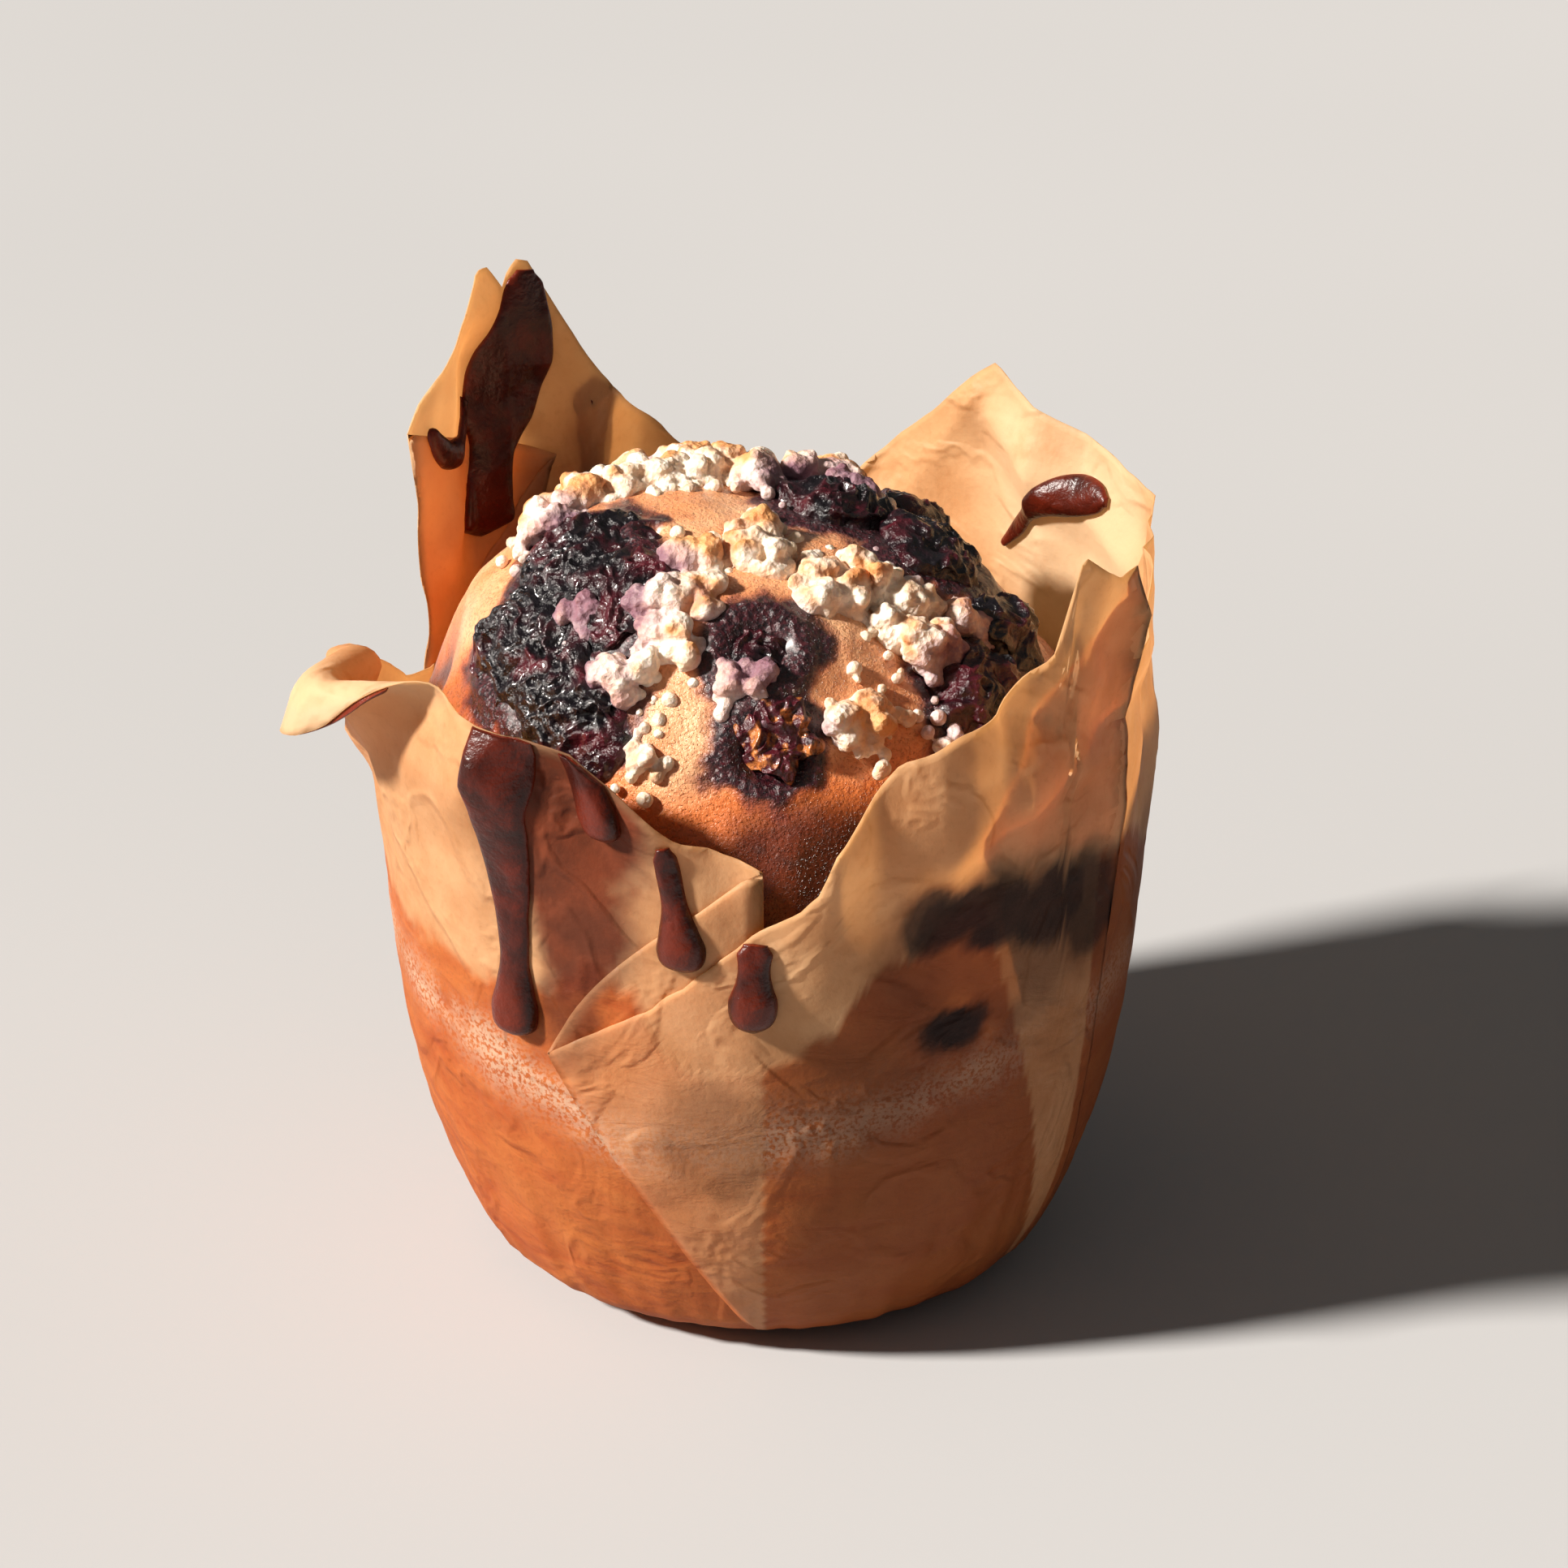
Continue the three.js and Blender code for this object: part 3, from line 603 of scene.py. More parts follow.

# %% [markdown]
# ## What shows on the paper
#
# Greaseproof paper is see-through where the crumb touches it and oils it. Stains and some painted light are
# painted as numbers on the sheet's points: the crumb's touch below a wavy contact line, a floury band just
# under that line, chocolate soaked in, dark berry juice, pale patches of painted sunlight, painted shade on
# the right side, the light edge of the rim, and where a hidden flap lies behind the sheet.

# %% Stains on the paper
CONTACT_LINE = [
    (-180, 44), (-163, 43), (-145, 41.6), (-132, 41.4), (-122, 43), (-116, 47), (-110, 44), (-105, 38),
    (-97, 36), (-88, 37), (-80, 40), (-74, 47), (-66, 52), (-50, 53), (-35, 50), (0, 45), (30, 47),
    (60, 43), (90, 46), (120, 43), (150, 46), (180, 44),
]
FLOUR_LINE = [
    (-180, 38), (-163, 36), (-145, 34), (-135, 32.6), (-120, 29), (-105, 27), (-84, 30), (-60, 33),
    (-40, 34), (0, 35), (60, 30), (120, 33), (180, 38),
]
JUICE_SPOTS = [  # angle, height, half width, half height, strength
    (-62, 51.5, 5, 3.6, 1.0), (-55, 50, 6.5, 5.2, 1.0), (-46, 48.6, 8, 6.4, 1.0), (-38, 48, 7, 7, 0.9),
    (-66, 52, 3.6, 4.6, 0.9), (-61.5, 39.6, 4.8, 3.4, 1.0), (-52, 44, 12, 7, 0.55), (-66, 45, 7, 7, 0.5),
    (-97, 28.5, 6, 7, 0.4), (-80, 33, 9, 7, 0.3), (28, 46, 9, 6, 0.9), (118, 44, 8, 5, 0.8),
    (88, 36, 7, 5, 0.5), (-10, 41, 6, 8, 0.4),
]
# Pale patches of painted sunlight: the lit inner face of the back-right flap, the curl's inner face and the
# left strip of the back-left flap.
SUNLIT_SPOTS = [(36, 68, 13, 15, 0.9), (205, 73, 10, 7, 0.9), (150, 78, 6, 14, 0.4)]
COCOA_SPOTS = [
    (-120.5, 59, 4.6, 12, 1.0), (-114, 58, 7.0, 9, 1.0), (-117, 50, 5.4, 10, 1.0), (-118, 42, 4, 7, 0.8),
    (120, 62, 5, 10, 0.5),
]


def spots(rows, angle, z, ragged):
    """The strongest of several soft ovals on the wall: 1 inside, 0 outside, with a ragged edge."""
    best = np.zeros(np.shape(z))
    for middle, height, wide, high, strength in rows:
        along = np.radians(turn_apart(angle, middle)) * UPPER_RADIUS / wide
        distance = np.hypot(along, (z - height) / high) + 0.3 * ragged
        best = np.maximum(best, strength * (1 - smooth(0.6, 1.25, distance)))
    return best


def paper_marks(angle, z, layer):
    """All the painted numbers of the sheet, as a dict of arrays."""
    p = around(angle, NOISE_RADIUS, z)
    ragged = rough(p, 7, 21, 4)
    fine = rough(p, 2.2, 31, 3)
    half = turn_apart(angle, 0)
    contact = curve(CONTACT_LINE, half) + 2.2 * ragged + 0.7 * fine
    outer = np.clip(layer, 0, 1)
    over = ((half > fold_angle("front outer", z)) & (half < -90)) * 1.0
    over = over + ((half > fold_angle("right inner", z)) & (half < fold_angle("right outer", z)))
    over = over + ((half > fold_angle("back outer", z)) & (half < 105))
    over = over + ((half > fold_angle("left inner", z)) & (half < 155))
    return {
        "touch": 1 - smooth(-0.8, 0.8, z - contact),
        "flour": np.exp(-(((z - curve(FLOUR_LINE, half) - 1.5 * ragged) / 3.2) ** 2)),
        "juice": spots(JUICE_SPOTS, angle, z, ragged + 0.4 * fine),
        "pale": spots(SUNLIT_SPOTS, angle, z, 0.4 * ragged),
        "cocoa": spots(COCOA_SPOTS, angle, z, ragged + 0.4 * fine),
        "layers": np.clip(over, 0, 1) * np.ones_like(z),
        # painted shade: the side away from the lamp, from the front right round by the right to the back
        "shaded_side": smooth(-112, -72, half + 8 * ragged) * (1 - smooth(60, 110, half + 8 * ragged)),
        "outer": outer * np.ones_like(z),
        "rim": 1 - smooth(0.0, 1.6, rim - z),
    }


marks = paper_marks(angles, heights, layers)
low = paper_marks(angles[:1], heights[:1], layers[:1])
points, faces = cup_grid(paper_grid, bottom=(0, 0, PAPER_THICKNESS / 2))
painted = {}
for key, values in marks.items():
    rows = np.concatenate([np.repeat(low[key], len(BOTTOM_RADII), 0), values])
    painted[key] = with_poles(rows, float(low[key].mean()), None)
paper = make_piece("folded_paper", points, faces, painted)
solidify = paper.modifiers.new("thickness", "SOLIDIFY")
solidify.thickness = PAPER_THICKNESS * MM
solidify.offset = 0
solidify.material_offset = 1
settle(paper, "baking_paper", "paper_wrapper")
print("paper:", len(points), "points")

# %% [markdown]
# ## The crumb
#
# The baked muffin is one lump. Its dome is a superellipse: a curve between an ellipse and a box, which
# gives the full shoulder of a muffin that rose against its paper. It drops to the right and leans left.

# %% The dome's shape
DOME_FOOT = 34.0
DOME_RADIUS = 35.4
DOME_HEIGHT = 42.5
DOME_POWER = 2.35
DOME_TILT = 0.09
DOME_SHIFT = -2.0


def dome_level(share):
    """The superellipse: (1 - share^power)^(1/power), 1 in the middle and 0 at the dome's foot."""
    return np.maximum(0, 1 - share**DOME_POWER) ** (1 / DOME_POWER)


def dome_height(x, y):
    """The dome's height over a point: its foot plus its level times its height, found in passes
    because the lean depends on the height."""
    height = np.full(np.shape(x), DOME_FOOT)
    for _ in range(14):
        rise = np.maximum(0, (height - DOME_FOOT) / DOME_HEIGHT)
        share = np.hypot(x - DOME_SHIFT * rise**2, y) / DOME_RADIUS
        height = DOME_FOOT + dome_level(share) * (DOME_HEIGHT - DOME_TILT * x)
    return height


def dome_normal(x, y):
    """The dome's upward normal, from its slopes over a 1 mm step."""
    slope_x = dome_height(x + 0.5, y) - dome_height(x - 0.5, y)
    slope_y = dome_height(x, y + 0.5) - dome_height(x, y - 0.5)
    n = np.stack([-slope_x, -slope_y, np.ones_like(slope_x)], -1)
    return n / np.linalg.norm(n, axis=-1, keepdims=True)


def node_names(start):
    return sorted(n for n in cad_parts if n.startswith(start))


BERRY_NODES = node_names("berry")
STREUSEL_NODES = node_names("streusel")
berry_middle, berry_size = (np.array(v) for v in zip(*(box_mm(n) for n in BERRY_NODES)))
berry_reach = np.sort(berry_size, axis=1)[:, 1:].mean(axis=1) / 2
print("berries:", len(BERRY_NODES), "streusel:", len(STREUSEL_NODES))

# %% [markdown]
# ## The crumb's surface
#
# The grid runs from the middle of the bottom up the inside of the paper and over the dome. The dome is
# uneven at three sizes, it has a sunken bed under each berry with a swollen lip round it, and the
# numbers painted on it say where juice has soaked in and how far down the dome it browns, which low
# down also carries painted shade.

# %% Crumb
CRUMB_COLUMNS = 336
CRUMB_WALL = [1.0, 1.5, 2.4, 3.6, 5, 7, 10, 13, 16, 19, 22, 25, 28, 31]
DOME_ROWS = 250
CRUMB_INSET = 0.85  # from the wall to the crumb, behind the inner layer of paper
HOLE = np.array([-10.5, -5.5])  # a burst bubble in the top

turn = np.linspace(0, 360, CRUMB_COLUMNS, endpoint=False)
wall_part = np.array([around(turn, wall_radius(z) - CRUMB_INSET, z) for z in CRUMB_WALL])
q = np.linspace(0, 1, DOME_ROWS, endpoint=False)[:, None]
share = np.cos(q * np.pi / 2) ** 0.9
level = dome_level(share)
x = DOME_RADIUS * share * np.cos(np.radians(turn)) + DOME_SHIFT * level**2
y = DOME_RADIUS * share * np.sin(np.radians(turn)) * np.ones_like(level)
dome_part = np.stack([x, y, DOME_FOOT + level * (DOME_HEIGHT - DOME_TILT * x)], -1)
crumb = np.concatenate([wall_part, dome_part])


def grid_normals(grid):
    """Outward normals of a closed grid: the cross product of its steps along rows and columns."""
    across = np.roll(grid, -1, 1) - np.roll(grid, 1, 1)
    up = np.gradient(grid, axis=0)
    n = np.cross(across, up)
    return n / np.maximum(np.linalg.norm(n, axis=-1, keepdims=True), 1e-9)


def berry_field(p):
    """For each point, the distance to the nearest berry's middle as a share of that berry's reach."""
    distance = np.full(p.shape[:-1], 9.0)
    for middle, reach in zip(berry_middle, berry_reach):
        distance = np.minimum(distance, np.linalg.norm(p - middle, axis=-1) / reach)
    return distance


normals = grid_normals(crumb)
on_dome = smooth(38, 46, crumb[..., 2])
near = berry_field(crumb)
lumps = 1.3 * rough(crumb, 18, 41, 2) + 0.7 * noise(crumb, 7.5, 44) + 0.16 * rough(crumb, 3, 46, 3)
beds = -1.1 * (1 - smooth(0.5, 1.05, near)) + 0.35 * np.exp(-(((near - 1.3) / 0.25) ** 2))
bubble = np.linalg.norm(crumb[..., :2] - HOLE, axis=-1)
beds = beds - 1.3 * np.exp(-((bubble / 0.9) ** 2)) + 0.25 * np.exp(-(((bubble - 1.8) / 0.6) ** 2))
swell = 0.9 * smooth(34, 40, crumb[..., 2]) * (1 - smooth(44, 50, crumb[..., 2]))
crumb = crumb + normals * (on_dome * (lumps + beds) + swell)[..., None]

jam = 1 - smooth(1.1, 2.3, near + 0.45 * rough(crumb, 3.2, 51, 3))
# This number grows towards the dome's foot: oven browning, and low down painted shade.
toast_and_shade = 1 - smooth(53, 72, crumb[..., 2])
toast_and_shade = np.clip(toast_and_shade + 0.35 * rough(crumb, 9, 52, 2), 0, 1)
top_point = np.array([DOME_SHIFT, 0, DOME_FOOT + DOME_HEIGHT - DOME_TILT * DOME_SHIFT])
points, faces = cup_grid(crumb, bottom=(0, 0, CRUMB_WALL[0]), top=top_point)
marks = {"jam": with_poles(jam, 0, 0), "toast_and_shade": with_poles(toast_and_shade, 0, 0.1)}
crumb_piece = make_piece("baked_crumb", points, faces, marks)
settle(crumb_piece, "muffin_crumb", "muffin_crumb")
print("crumb:", len(points), "points, top at", round(float(crumb[..., 2].max()), 1), "mm")

# %% [markdown]
# ## Burst berries
#
# A blueberry that bursts in the oven slumps into a flat, wrinkled, shining skin. Each one starts as a
# ball of rows and columns, is flattened along the dome's normal, and is then crumpled with ridged
# noise: fine crests with soft valleys between them, like the skin on cooled jam.

# %% Berries
BERRY_ROWS, BERRY_COLUMNS = 110, 150


def frame_on_dome(x, y):
    """Three axes at a place on the dome: two along it, and its normal."""
    n = dome_normal(np.array(x), np.array(y))
    side = np.cross(np.array([0.0, 1.0, 0.0]), n)
    side /= np.linalg.norm(side)
    return side, np.cross(n, side), n


def ball_grid(rows, columns):
    """Unit ball directions on a grid from just above the south pole to just under the north pole."""
    polar = np.linspace(-np.pi / 2, np.pi / 2, rows + 2)[1:-1, None]
    turn = np.linspace(0, 2 * np.pi, columns, endpoint=False)
    width = np.cos(polar)
    return np.stack([width * np.cos(turn), width * np.sin(turn), np.sin(polar) + 0 * turn], -1)


# Numbers for the berries whose names start so; the row "berry" is for all the others.
BERRY_SPREAD = {  # half width, as a share of the CAD berry's
    "berry_left": 1.42, "berry_top": 1.24, "berry_right": 1.18, "berry_front": 0.95, "berry_middle": 0.9,
    "berry": 1.05,
}
BERRY_LIFT = {"berry_middle": -0.1, "berry_front": 0.1, "berry": 0.2}
BERRY_THICK = {
    "berry_middle": 0.9, "berry_front": 0.9, "berry_left": 1.7, "berry_top_right": 2.6, "berry": 2.3,
}
BERRY_RAGGED = {
    "berry_middle": 0.5, "berry_front": 0.6, "berry_right": 0.3, "berry_left": 0.3, "berry": 0.18,
}


def by_start(rows, node):
    """The number of the first row whose name starts the node's name."""
    return next(value for start, value in rows.items() if node.startswith(start))


def wrinkled(points, seed):
    """Ridged noise at two sizes on a place that is itself pushed about by noise, so the crests wander."""
    push = np.stack([noise(points, 2.6, seed + k) for k in range(3)], -1)
    moved = points + 1.1 * push
    return 0.62 * ridges(moved, 2.3, seed) + 0.38 * ridges(moved, 1.05, seed + 5)


def make_berry(node, seed):
    """A flattened ball whose radius is crumpled by ridged noise, bent to follow the dome: each point of
    the flat ball goes to (point on the dome under it) + normal * (its height in the ball)."""
    middle, size = box_mm(node)
    side, up, normal = frame_on_dome(middle[0], middle[1])
    spread = np.sort(size)[1:].mean() / 2 * by_start(BERRY_SPREAD, node)
    ball = ball_grid(BERRY_ROWS, BERRY_COLUMNS)
    outline = 0.97 + by_start(BERRY_RAGGED, node) * rough(ball * 2.4 + seed, 1.4, seed + 9, 2)
    plan = ball[..., :2] * (spread * outline)[..., None]
    own = np.concatenate([plan, 0.6 * ball[..., 2:]], -1)
    crest = wrinkled(own + seed * 7.0, seed)
    sway = noise(own * np.array([1, 1, 0]) + seed, 3.6, seed + 2)
    thick = by_start(BERRY_THICK, node)
    body = thick * np.sign(ball[..., 2]) * np.abs(ball[..., 2]) ** 0.7 + (0.95 * crest - 0.5 + 0.6 * sway)
    centre = np.array([middle[0], middle[1], dome_height(middle[0], middle[1])])
    flat = centre + plan[..., :1] * side + plan[..., 1:] * up
    drop = (flat[..., 2] - dome_height(flat[..., 0], flat[..., 1])) * normal[2]
    rise = body + by_start(BERRY_LIFT, node) - drop
    points = flat + rise[..., None] * normal
    points, faces = cup_grid(points, bottom=points[0].mean(0), top=points[-1].mean(0))
    dough = smooth(0.1, 0.35, noise(own, 0.7, 77)) * (node == "berry_front")
    marks = {"crest": with_poles(crest, 0, 0), "dough": with_poles(dough, 0, 0)}
    return settle(make_piece(node + "_skin", points, faces, marks), "blueberry", node)


berries = [make_berry(node, k + 1) for k, node in enumerate(BERRY_NODES)]
print("berries:", len(berries), "skins")

# %% [markdown]
# ## Streusel
#
# Streusel is butter, flour and sugar rubbed into grains that stick together and bake into knobbly
# lumps. Each lump is a heap of small uneven balls. A voxel remesh melts the heap into one skin, as
# baking does, and noise gives that skin its sandy surface.

# %% Streusel
GRAIN_BALL, GRAIN_FACES = cup_grid(ball_grid(12, 18), bottom=(0, 0, -1), top=(0, 0, 1))
VOXEL = 0.24
GRAIN_COUNTS = [(2.2, 4, 40), (0.9, 12, 90)]  # nuggets, loose grains: area for one, fewest, most
NUGGET_RADII = (0.85, 1.6)
LOOSE_RADII = (0.28, 0.85)
KNOBS = 7  # small balls on each nugget
FULL_HEIGHT = 4.2  # a lump less high than this has smaller nuggets


def mesh_arrays(mesh):
    """A mesh's points in millimetres and its point normals."""
    points = np.empty(len(mesh.vertices) * 3, np.float32)
    normals = np.empty(len(mesh.vertices) * 3, np.float32)
    mesh.vertices.foreach_get("co", points)
    mesh.vertices.foreach_get("normal", normals)
    return points.reshape(-1, 3) / MM, normals.reshape(-1, 3)


def grain_heap(node, seed):
    """Middles and radii of a heap's grains. Nuggets sit just under the design lump's skin, so that the
    heap fills it; knobs stick to the nuggets; and loose grains lie on the dome round about."""
    draw = np.random.default_rng(seed)
    middle, size = box_mm(node)
    skin, outward = mesh_arrays(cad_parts[node].data)
    area = size[0] * size[1]
    nuggets, loose = (int(np.clip(area / share, least, most)) for share, least, most in GRAIN_COUNTS)
    reach = min(1.0, size.min() / FULL_HEIGHT)
    big = draw.uniform(*NUGGET_RADII, nuggets) * reach
    pick = draw.integers(0, len(skin), nuggets)
    place = skin[pick] - outward[pick] * big[:, None] * 0.8
    place[:, 2] = np.maximum(place[:, 2], dome_height(place[:, 0], place[:, 1]) + big * 0.3)
    host = np.repeat(np.arange(nuggets), KNOBS)
    way = draw.normal(0, 1, (len(host), 3))
    way /= np.linalg.norm(way, axis=1, keepdims=True)
    knob = big[host] * draw.uniform(0.34, 0.6, len(host))
    knob_place = place[host] + way * (big[host] - 0.35 * knob)[:, None]
    small = draw.uniform(*LOOSE_RADII, loose)
    away = skin[draw.integers(0, len(skin), loose)]
    loose_place = middle + (away - middle) * draw.uniform(0.9, 1.7, loose)[:, None]
    loose_place += draw.normal(0, 0.8, loose_place.shape)
    loose_place[:, 2] = dome_height(loose_place[:, 0], loose_place[:, 1]) + small * 0.45
    return np.concatenate([place, knob_place, loose_place]), np.concatenate([big, knob, small])


def make_streusel(node, seed):
    """Uneven balls at the heap's grains, melted together by a voxel remesh, then sanded with noise."""
    place, radius = grain_heap(node, seed)
    count = len(place)
    balls = GRAIN_BALL[None] * radius[:, None, None]
    balls = balls * (1 + 0.12 * noise(GRAIN_BALL[None] + place[:, None] * 5, 1.2, seed))[..., None]
    points = (balls + place[:, None]).reshape(-1, 3)
    offsets = (np.arange(count) * len(GRAIN_BALL))[:, None, None]
    faces = [(f[None] + offsets).reshape(-1, f.shape[1]) for f in GRAIN_FACES]
    heap = make_piece(node + "_heap", points, faces)
    remesh = heap.modifiers.new("melt", "REMESH")
    remesh.mode = "VOXEL"
    remesh.voxel_size = VOXEL * MM
    remesh.use_smooth_shade = True
    melted = bpy.data.meshes.new_from_object(heap.evaluated_get(bpy.context.evaluated_depsgraph_get()))
    bpy.data.objects.remove(heap)
    return shape_streusel(node, melted, seed)


def shape_streusel(node, mesh, seed):
    """Noise along the normals, and painted numbers: height over the dome, juice nearby, painted shade in
    hollows.
    """
    points, normals = mesh_arrays(mesh)
    bumpy = 0.1 * noise(points, 1.3, seed) + 0.04 * noise(points, 0.6, seed + 1)
    points = points + normals * bumpy[:, None]
    mesh.vertices.foreach_set("co", (points * MM).astype(np.float32).ravel())
    marks = {
        "rise": (points[:, 2] - dome_height(points[:, 0], points[:, 1])) / 4,
        "jam": 1 - smooth(0.9, 2.5, berry_field(points) + 0.4 * noise(points, 2.5, 60)),
        "hollow_shade": 0.5 + 0.5 * bumpy / 0.14,
    }
    paint(mesh, marks)
    mesh.polygons.foreach_set("use_smooth", np.ones(len(mesh.polygons), bool))
    mesh.update()
    return settle(add_object(node + "_lump", mesh), "streusel", node)


streusel = [make_streusel(node, 100 + k) for k, node in enumerate(STREUSEL_NODES)]
print("streusel:", len(streusel), "lumps,", sum(len(s.data.polygons) for s in streusel), "faces")

# %% [markdown]
# ## Chocolate runs
#
# Melted chocolate runs straight down, thin where it has passed and thick in the drop where it stopped.
# A run is a profile carried along a path on the paper: rows of angle, height, half width and thickness,
# joined smoothly. Its back is the paper's own surface, so it hugs every sway of the sheet.

# %% Chocolate
RUN_ROWS, RUN_COLUMNS = 90, 26
OUTSIDE, INSIDE = 1, -1
BACK_LIFT, FRONT_LIFT = 1.6, 1.8  # of a bead's two faces over the sheet's middle, in paper thicknesses
INSIDE_LIFT = 0.24  # how much farther a bead on the paper's inner face stands off, in millimetres
PAPER_TOP = 90.0

CHOCOLATE_RUNS = {
    "chocolate_long_run": (OUTSIDE, -1, [
        (-127, 70, 2.8, 0.4), (-127.2, 66.5, 2.8, 0.55), (-127.4, 62.5, 2.8, 0.75), (-127.6, 58, 2.5, 0.85),
        (-127.9, 53, 2.1, 0.8), (-128, 48.5, 1.8, 0.85), (-128, 44.5, 1.6, 0.9), (-128.1, 41.6, 2.2, 1.5),
        (-128.3, 39, 2.6, 2.0), (-128.4, 37.2, 2.1, 1.7), (-128.5, 36.1, 0.9, 0.7),
    ]),
    "chocolate_short_run": (OUTSIDE, -1, [
        (-116.8, 69, 1.8, 0.4), (-115.6, 66, 1.9, 0.8), (-114.3, 63.6, 2.3, 1.4), (-113.4, 61.6, 2.6, 1.8),
        (-112.9, 60.0, 2.1, 1.5), (-112.8, 59.0, 0.9, 0.6),
    ]),
    "chocolate_slim_run": (OUTSIDE, -1, [
        (-103.8, 59.8, 1.0, 0.5), (-103.1, 57, 1.1, 0.8), (-102.3, 54, 1.3, 1.0), (-101.7, 51.4, 1.9, 1.5),
        (-101.4, 49.4, 2.25, 1.8), (-101.4, 48, 1.8, 1.5), (-101.5, 47, 0.8, 0.6),
    ]),
    "chocolate_flap_run": (OUTSIDE, 1, [
        (-91, 50.6, 1.9, 0.5), (-91.2, 48.4, 1.6, 0.9), (-91.3, 46.4, 1.8, 1.3), (-91.4, 44.4, 2.2, 1.7),
        (-91.4, 42.6, 1.9, 1.5), (-91.4, 41.3, 0.8, 0.6),
    ]),
    "chocolate_curl_edge": (OUTSIDE, -1, [
        (-167, 71.8, 0.6, 0.4), (-162, 73.4, 1.0, 0.6), (-156, 74.2, 1.2, 0.7), (-150, 73.8, 1.0, 0.6),
        (-145, 72, 0.6, 0.4),
    ]),
    "chocolate_tall_run": (INSIDE, 1, [
        (127, 88.6, 1.6, 0.4), (128, 85.4, 2.7, 0.7), (129.4, 81.4, 3.7, 0.95), (131.4, 77.5, 3.7, 1.0),
        (132.8, 74, 3.3, 1.0), (133.8, 71.4, 2.8, 1.0), (135.0, 68.2, 2.5, 1.2), (135.8, 65.4, 3.4, 1.8),
        (136.2, 63.2, 3.3, 1.9), (136.3, 61.6, 1.3, 0.8),
    ]),
    "chocolate_side_run": (INSIDE, 1, [
        (137.8, 76.6, 1.4, 0.6), (140.4, 74.8, 1.5, 0.9), (143.6, 73.4, 1.6, 1.0), (147, 73.6, 1.5, 1.0),
        (150, 75.4, 1.2, 0.8), (151.6, 77.4, 0.5, 0.4),
    ]),
    "chocolate_back_spot": (INSIDE, -1, [
        (27.6, 69.6, 0.8, 0.4), (30, 69.4, 1.5, 0.8), (34.4, 68.8, 2.0, 1.1), (39, 67.6, 1.8, 1.0),
        (43, 65.6, 1.1, 0.7), (47, 62.6, 0.8, 0.5), (50.4, 60, 0.4, 0.3),
    ]),
    "chocolate_rear_run": (OUTSIDE, 1, [
        (118, 76.8, 0.7, 0.3), (118, 75.6, 1.9, 0.5), (118, 72, 1.9, 0.8), (118.2, 66, 1.4, 0.9),
        (118.5, 61.6, 2.0, 1.5), (118.6, 59.2, 2.3, 1.8), (118.6, 57.8, 1.8, 1.4), (118.6, 56.8, 0.8, 0.5),
    ]),
}


RUN_RIMS = {  # the rim at which some of the runs start
    "chocolate_long_run": FRONT_LEFT_RIM, "chocolate_short_run": FRONT_LEFT_RIM,
    "chocolate_tall_run": BACK_LEFT_RIM, "chocolate_side_run": BACK_LEFT_RIM,
}


def rim_height(node, angle):
    """The height of the paper's rim over a run, so that a run that starts at the rim ends with it."""
    return curve(RUN_RIMS[node], angle % 360) if node in RUN_RIMS else PAPER_TOP


def make_run(node, seed):
    """A bead along a path: across it, thickness is a flat-topped arch (1 - share^2.4)^0.5, and down it,
    width and thickness follow the rows; the back is the paper's face, a little way off."""
    side, layer, rows = CHOCOLATE_RUNS[node]
    angle_at, height_at, half_at, thick_at = (np.array(rows).T[k] for k in range(4))
    step = np.hypot(np.diff(height_at), np.radians(np.diff(angle_at)) * UPPER_RADIUS)
    length = np.concatenate([[0], np.cumsum(step)])
    place = np.linspace(0, length[-1], RUN_ROWS)
    numbers = (angle_at, height_at, half_at, thick_at)
    angle, z, half, thick = (soft_curve(list(zip(length, v)), place) for v in numbers)
    along_up = np.gradient(z, place)
    along_side = np.gradient(np.radians(angle) * UPPER_RADIUS, place)
    norm = np.hypot(along_up, along_side)
    across_side, across_up = (-along_up / norm)[:, None], (along_side / norm)[:, None]
    share = np.sin(np.linspace(-np.pi / 2, np.pi / 2, RUN_COLUMNS))[None]
    wobble = 1 + 0.1 * noise(np.stack([place, place * 0, place * 0 + seed], -1), 3.0, seed)[:, None]
    into_tip = np.clip((place - length[-1]) / (0.6 * half_at[-2]) + 1, 0, 1)
    cap = np.sqrt(np.clip(1 - into_tip**2, 0, 1))[:, None]
    start = smooth(0, 1.2, place)[:, None] * 0.4 + 0.6
    half = np.maximum(half, 0.3)[:, None] * wobble * np.maximum(cap, 0.05) * start
    a = angle[:, None] + np.degrees(across_side * half * share / UPPER_RADIUS)
    h = z[:, None] + across_up * half * share
    h = np.minimum(h, rim_height(node, a) + 0.12)
    arch = np.sqrt(np.clip(1 - np.abs(share) ** 2.4, 0, 1))
    lump = 1 + 0.12 * noise(around(a, NOISE_RADIUS, h), 2.6, seed + 3)
    swell = np.maximum(thick, 0.15)[:, None] * arch * lump * np.maximum(cap, 0.1)
    lift = side * (PAPER_THICKNESS * FRONT_LIFT + swell)
    reach = -INSIDE_LIFT if side == INSIDE else 0.0
    front = paper_point(a, h, layer, lift + reach)
    back = paper_point(a, h, layer, side * PAPER_THICKNESS * BACK_LIFT + reach)
    loop = np.concatenate([front, back[:, ::-1]], axis=1)
    if side == INSIDE:
        loop = loop[:, ::-1]
    points, faces = cup_grid(loop[::-1], bottom=loop[-1].mean(0), top=loop[0].mean(0))
    depth = np.concatenate([np.abs(lift), np.abs(lift) * 0], axis=1)[::-1]
    marks = {"thick": with_poles(depth if side == OUTSIDE else depth[:, ::-1], 0, 0)}
    return settle(make_piece(node + "_bead", points, faces, marks), "chocolate", node)


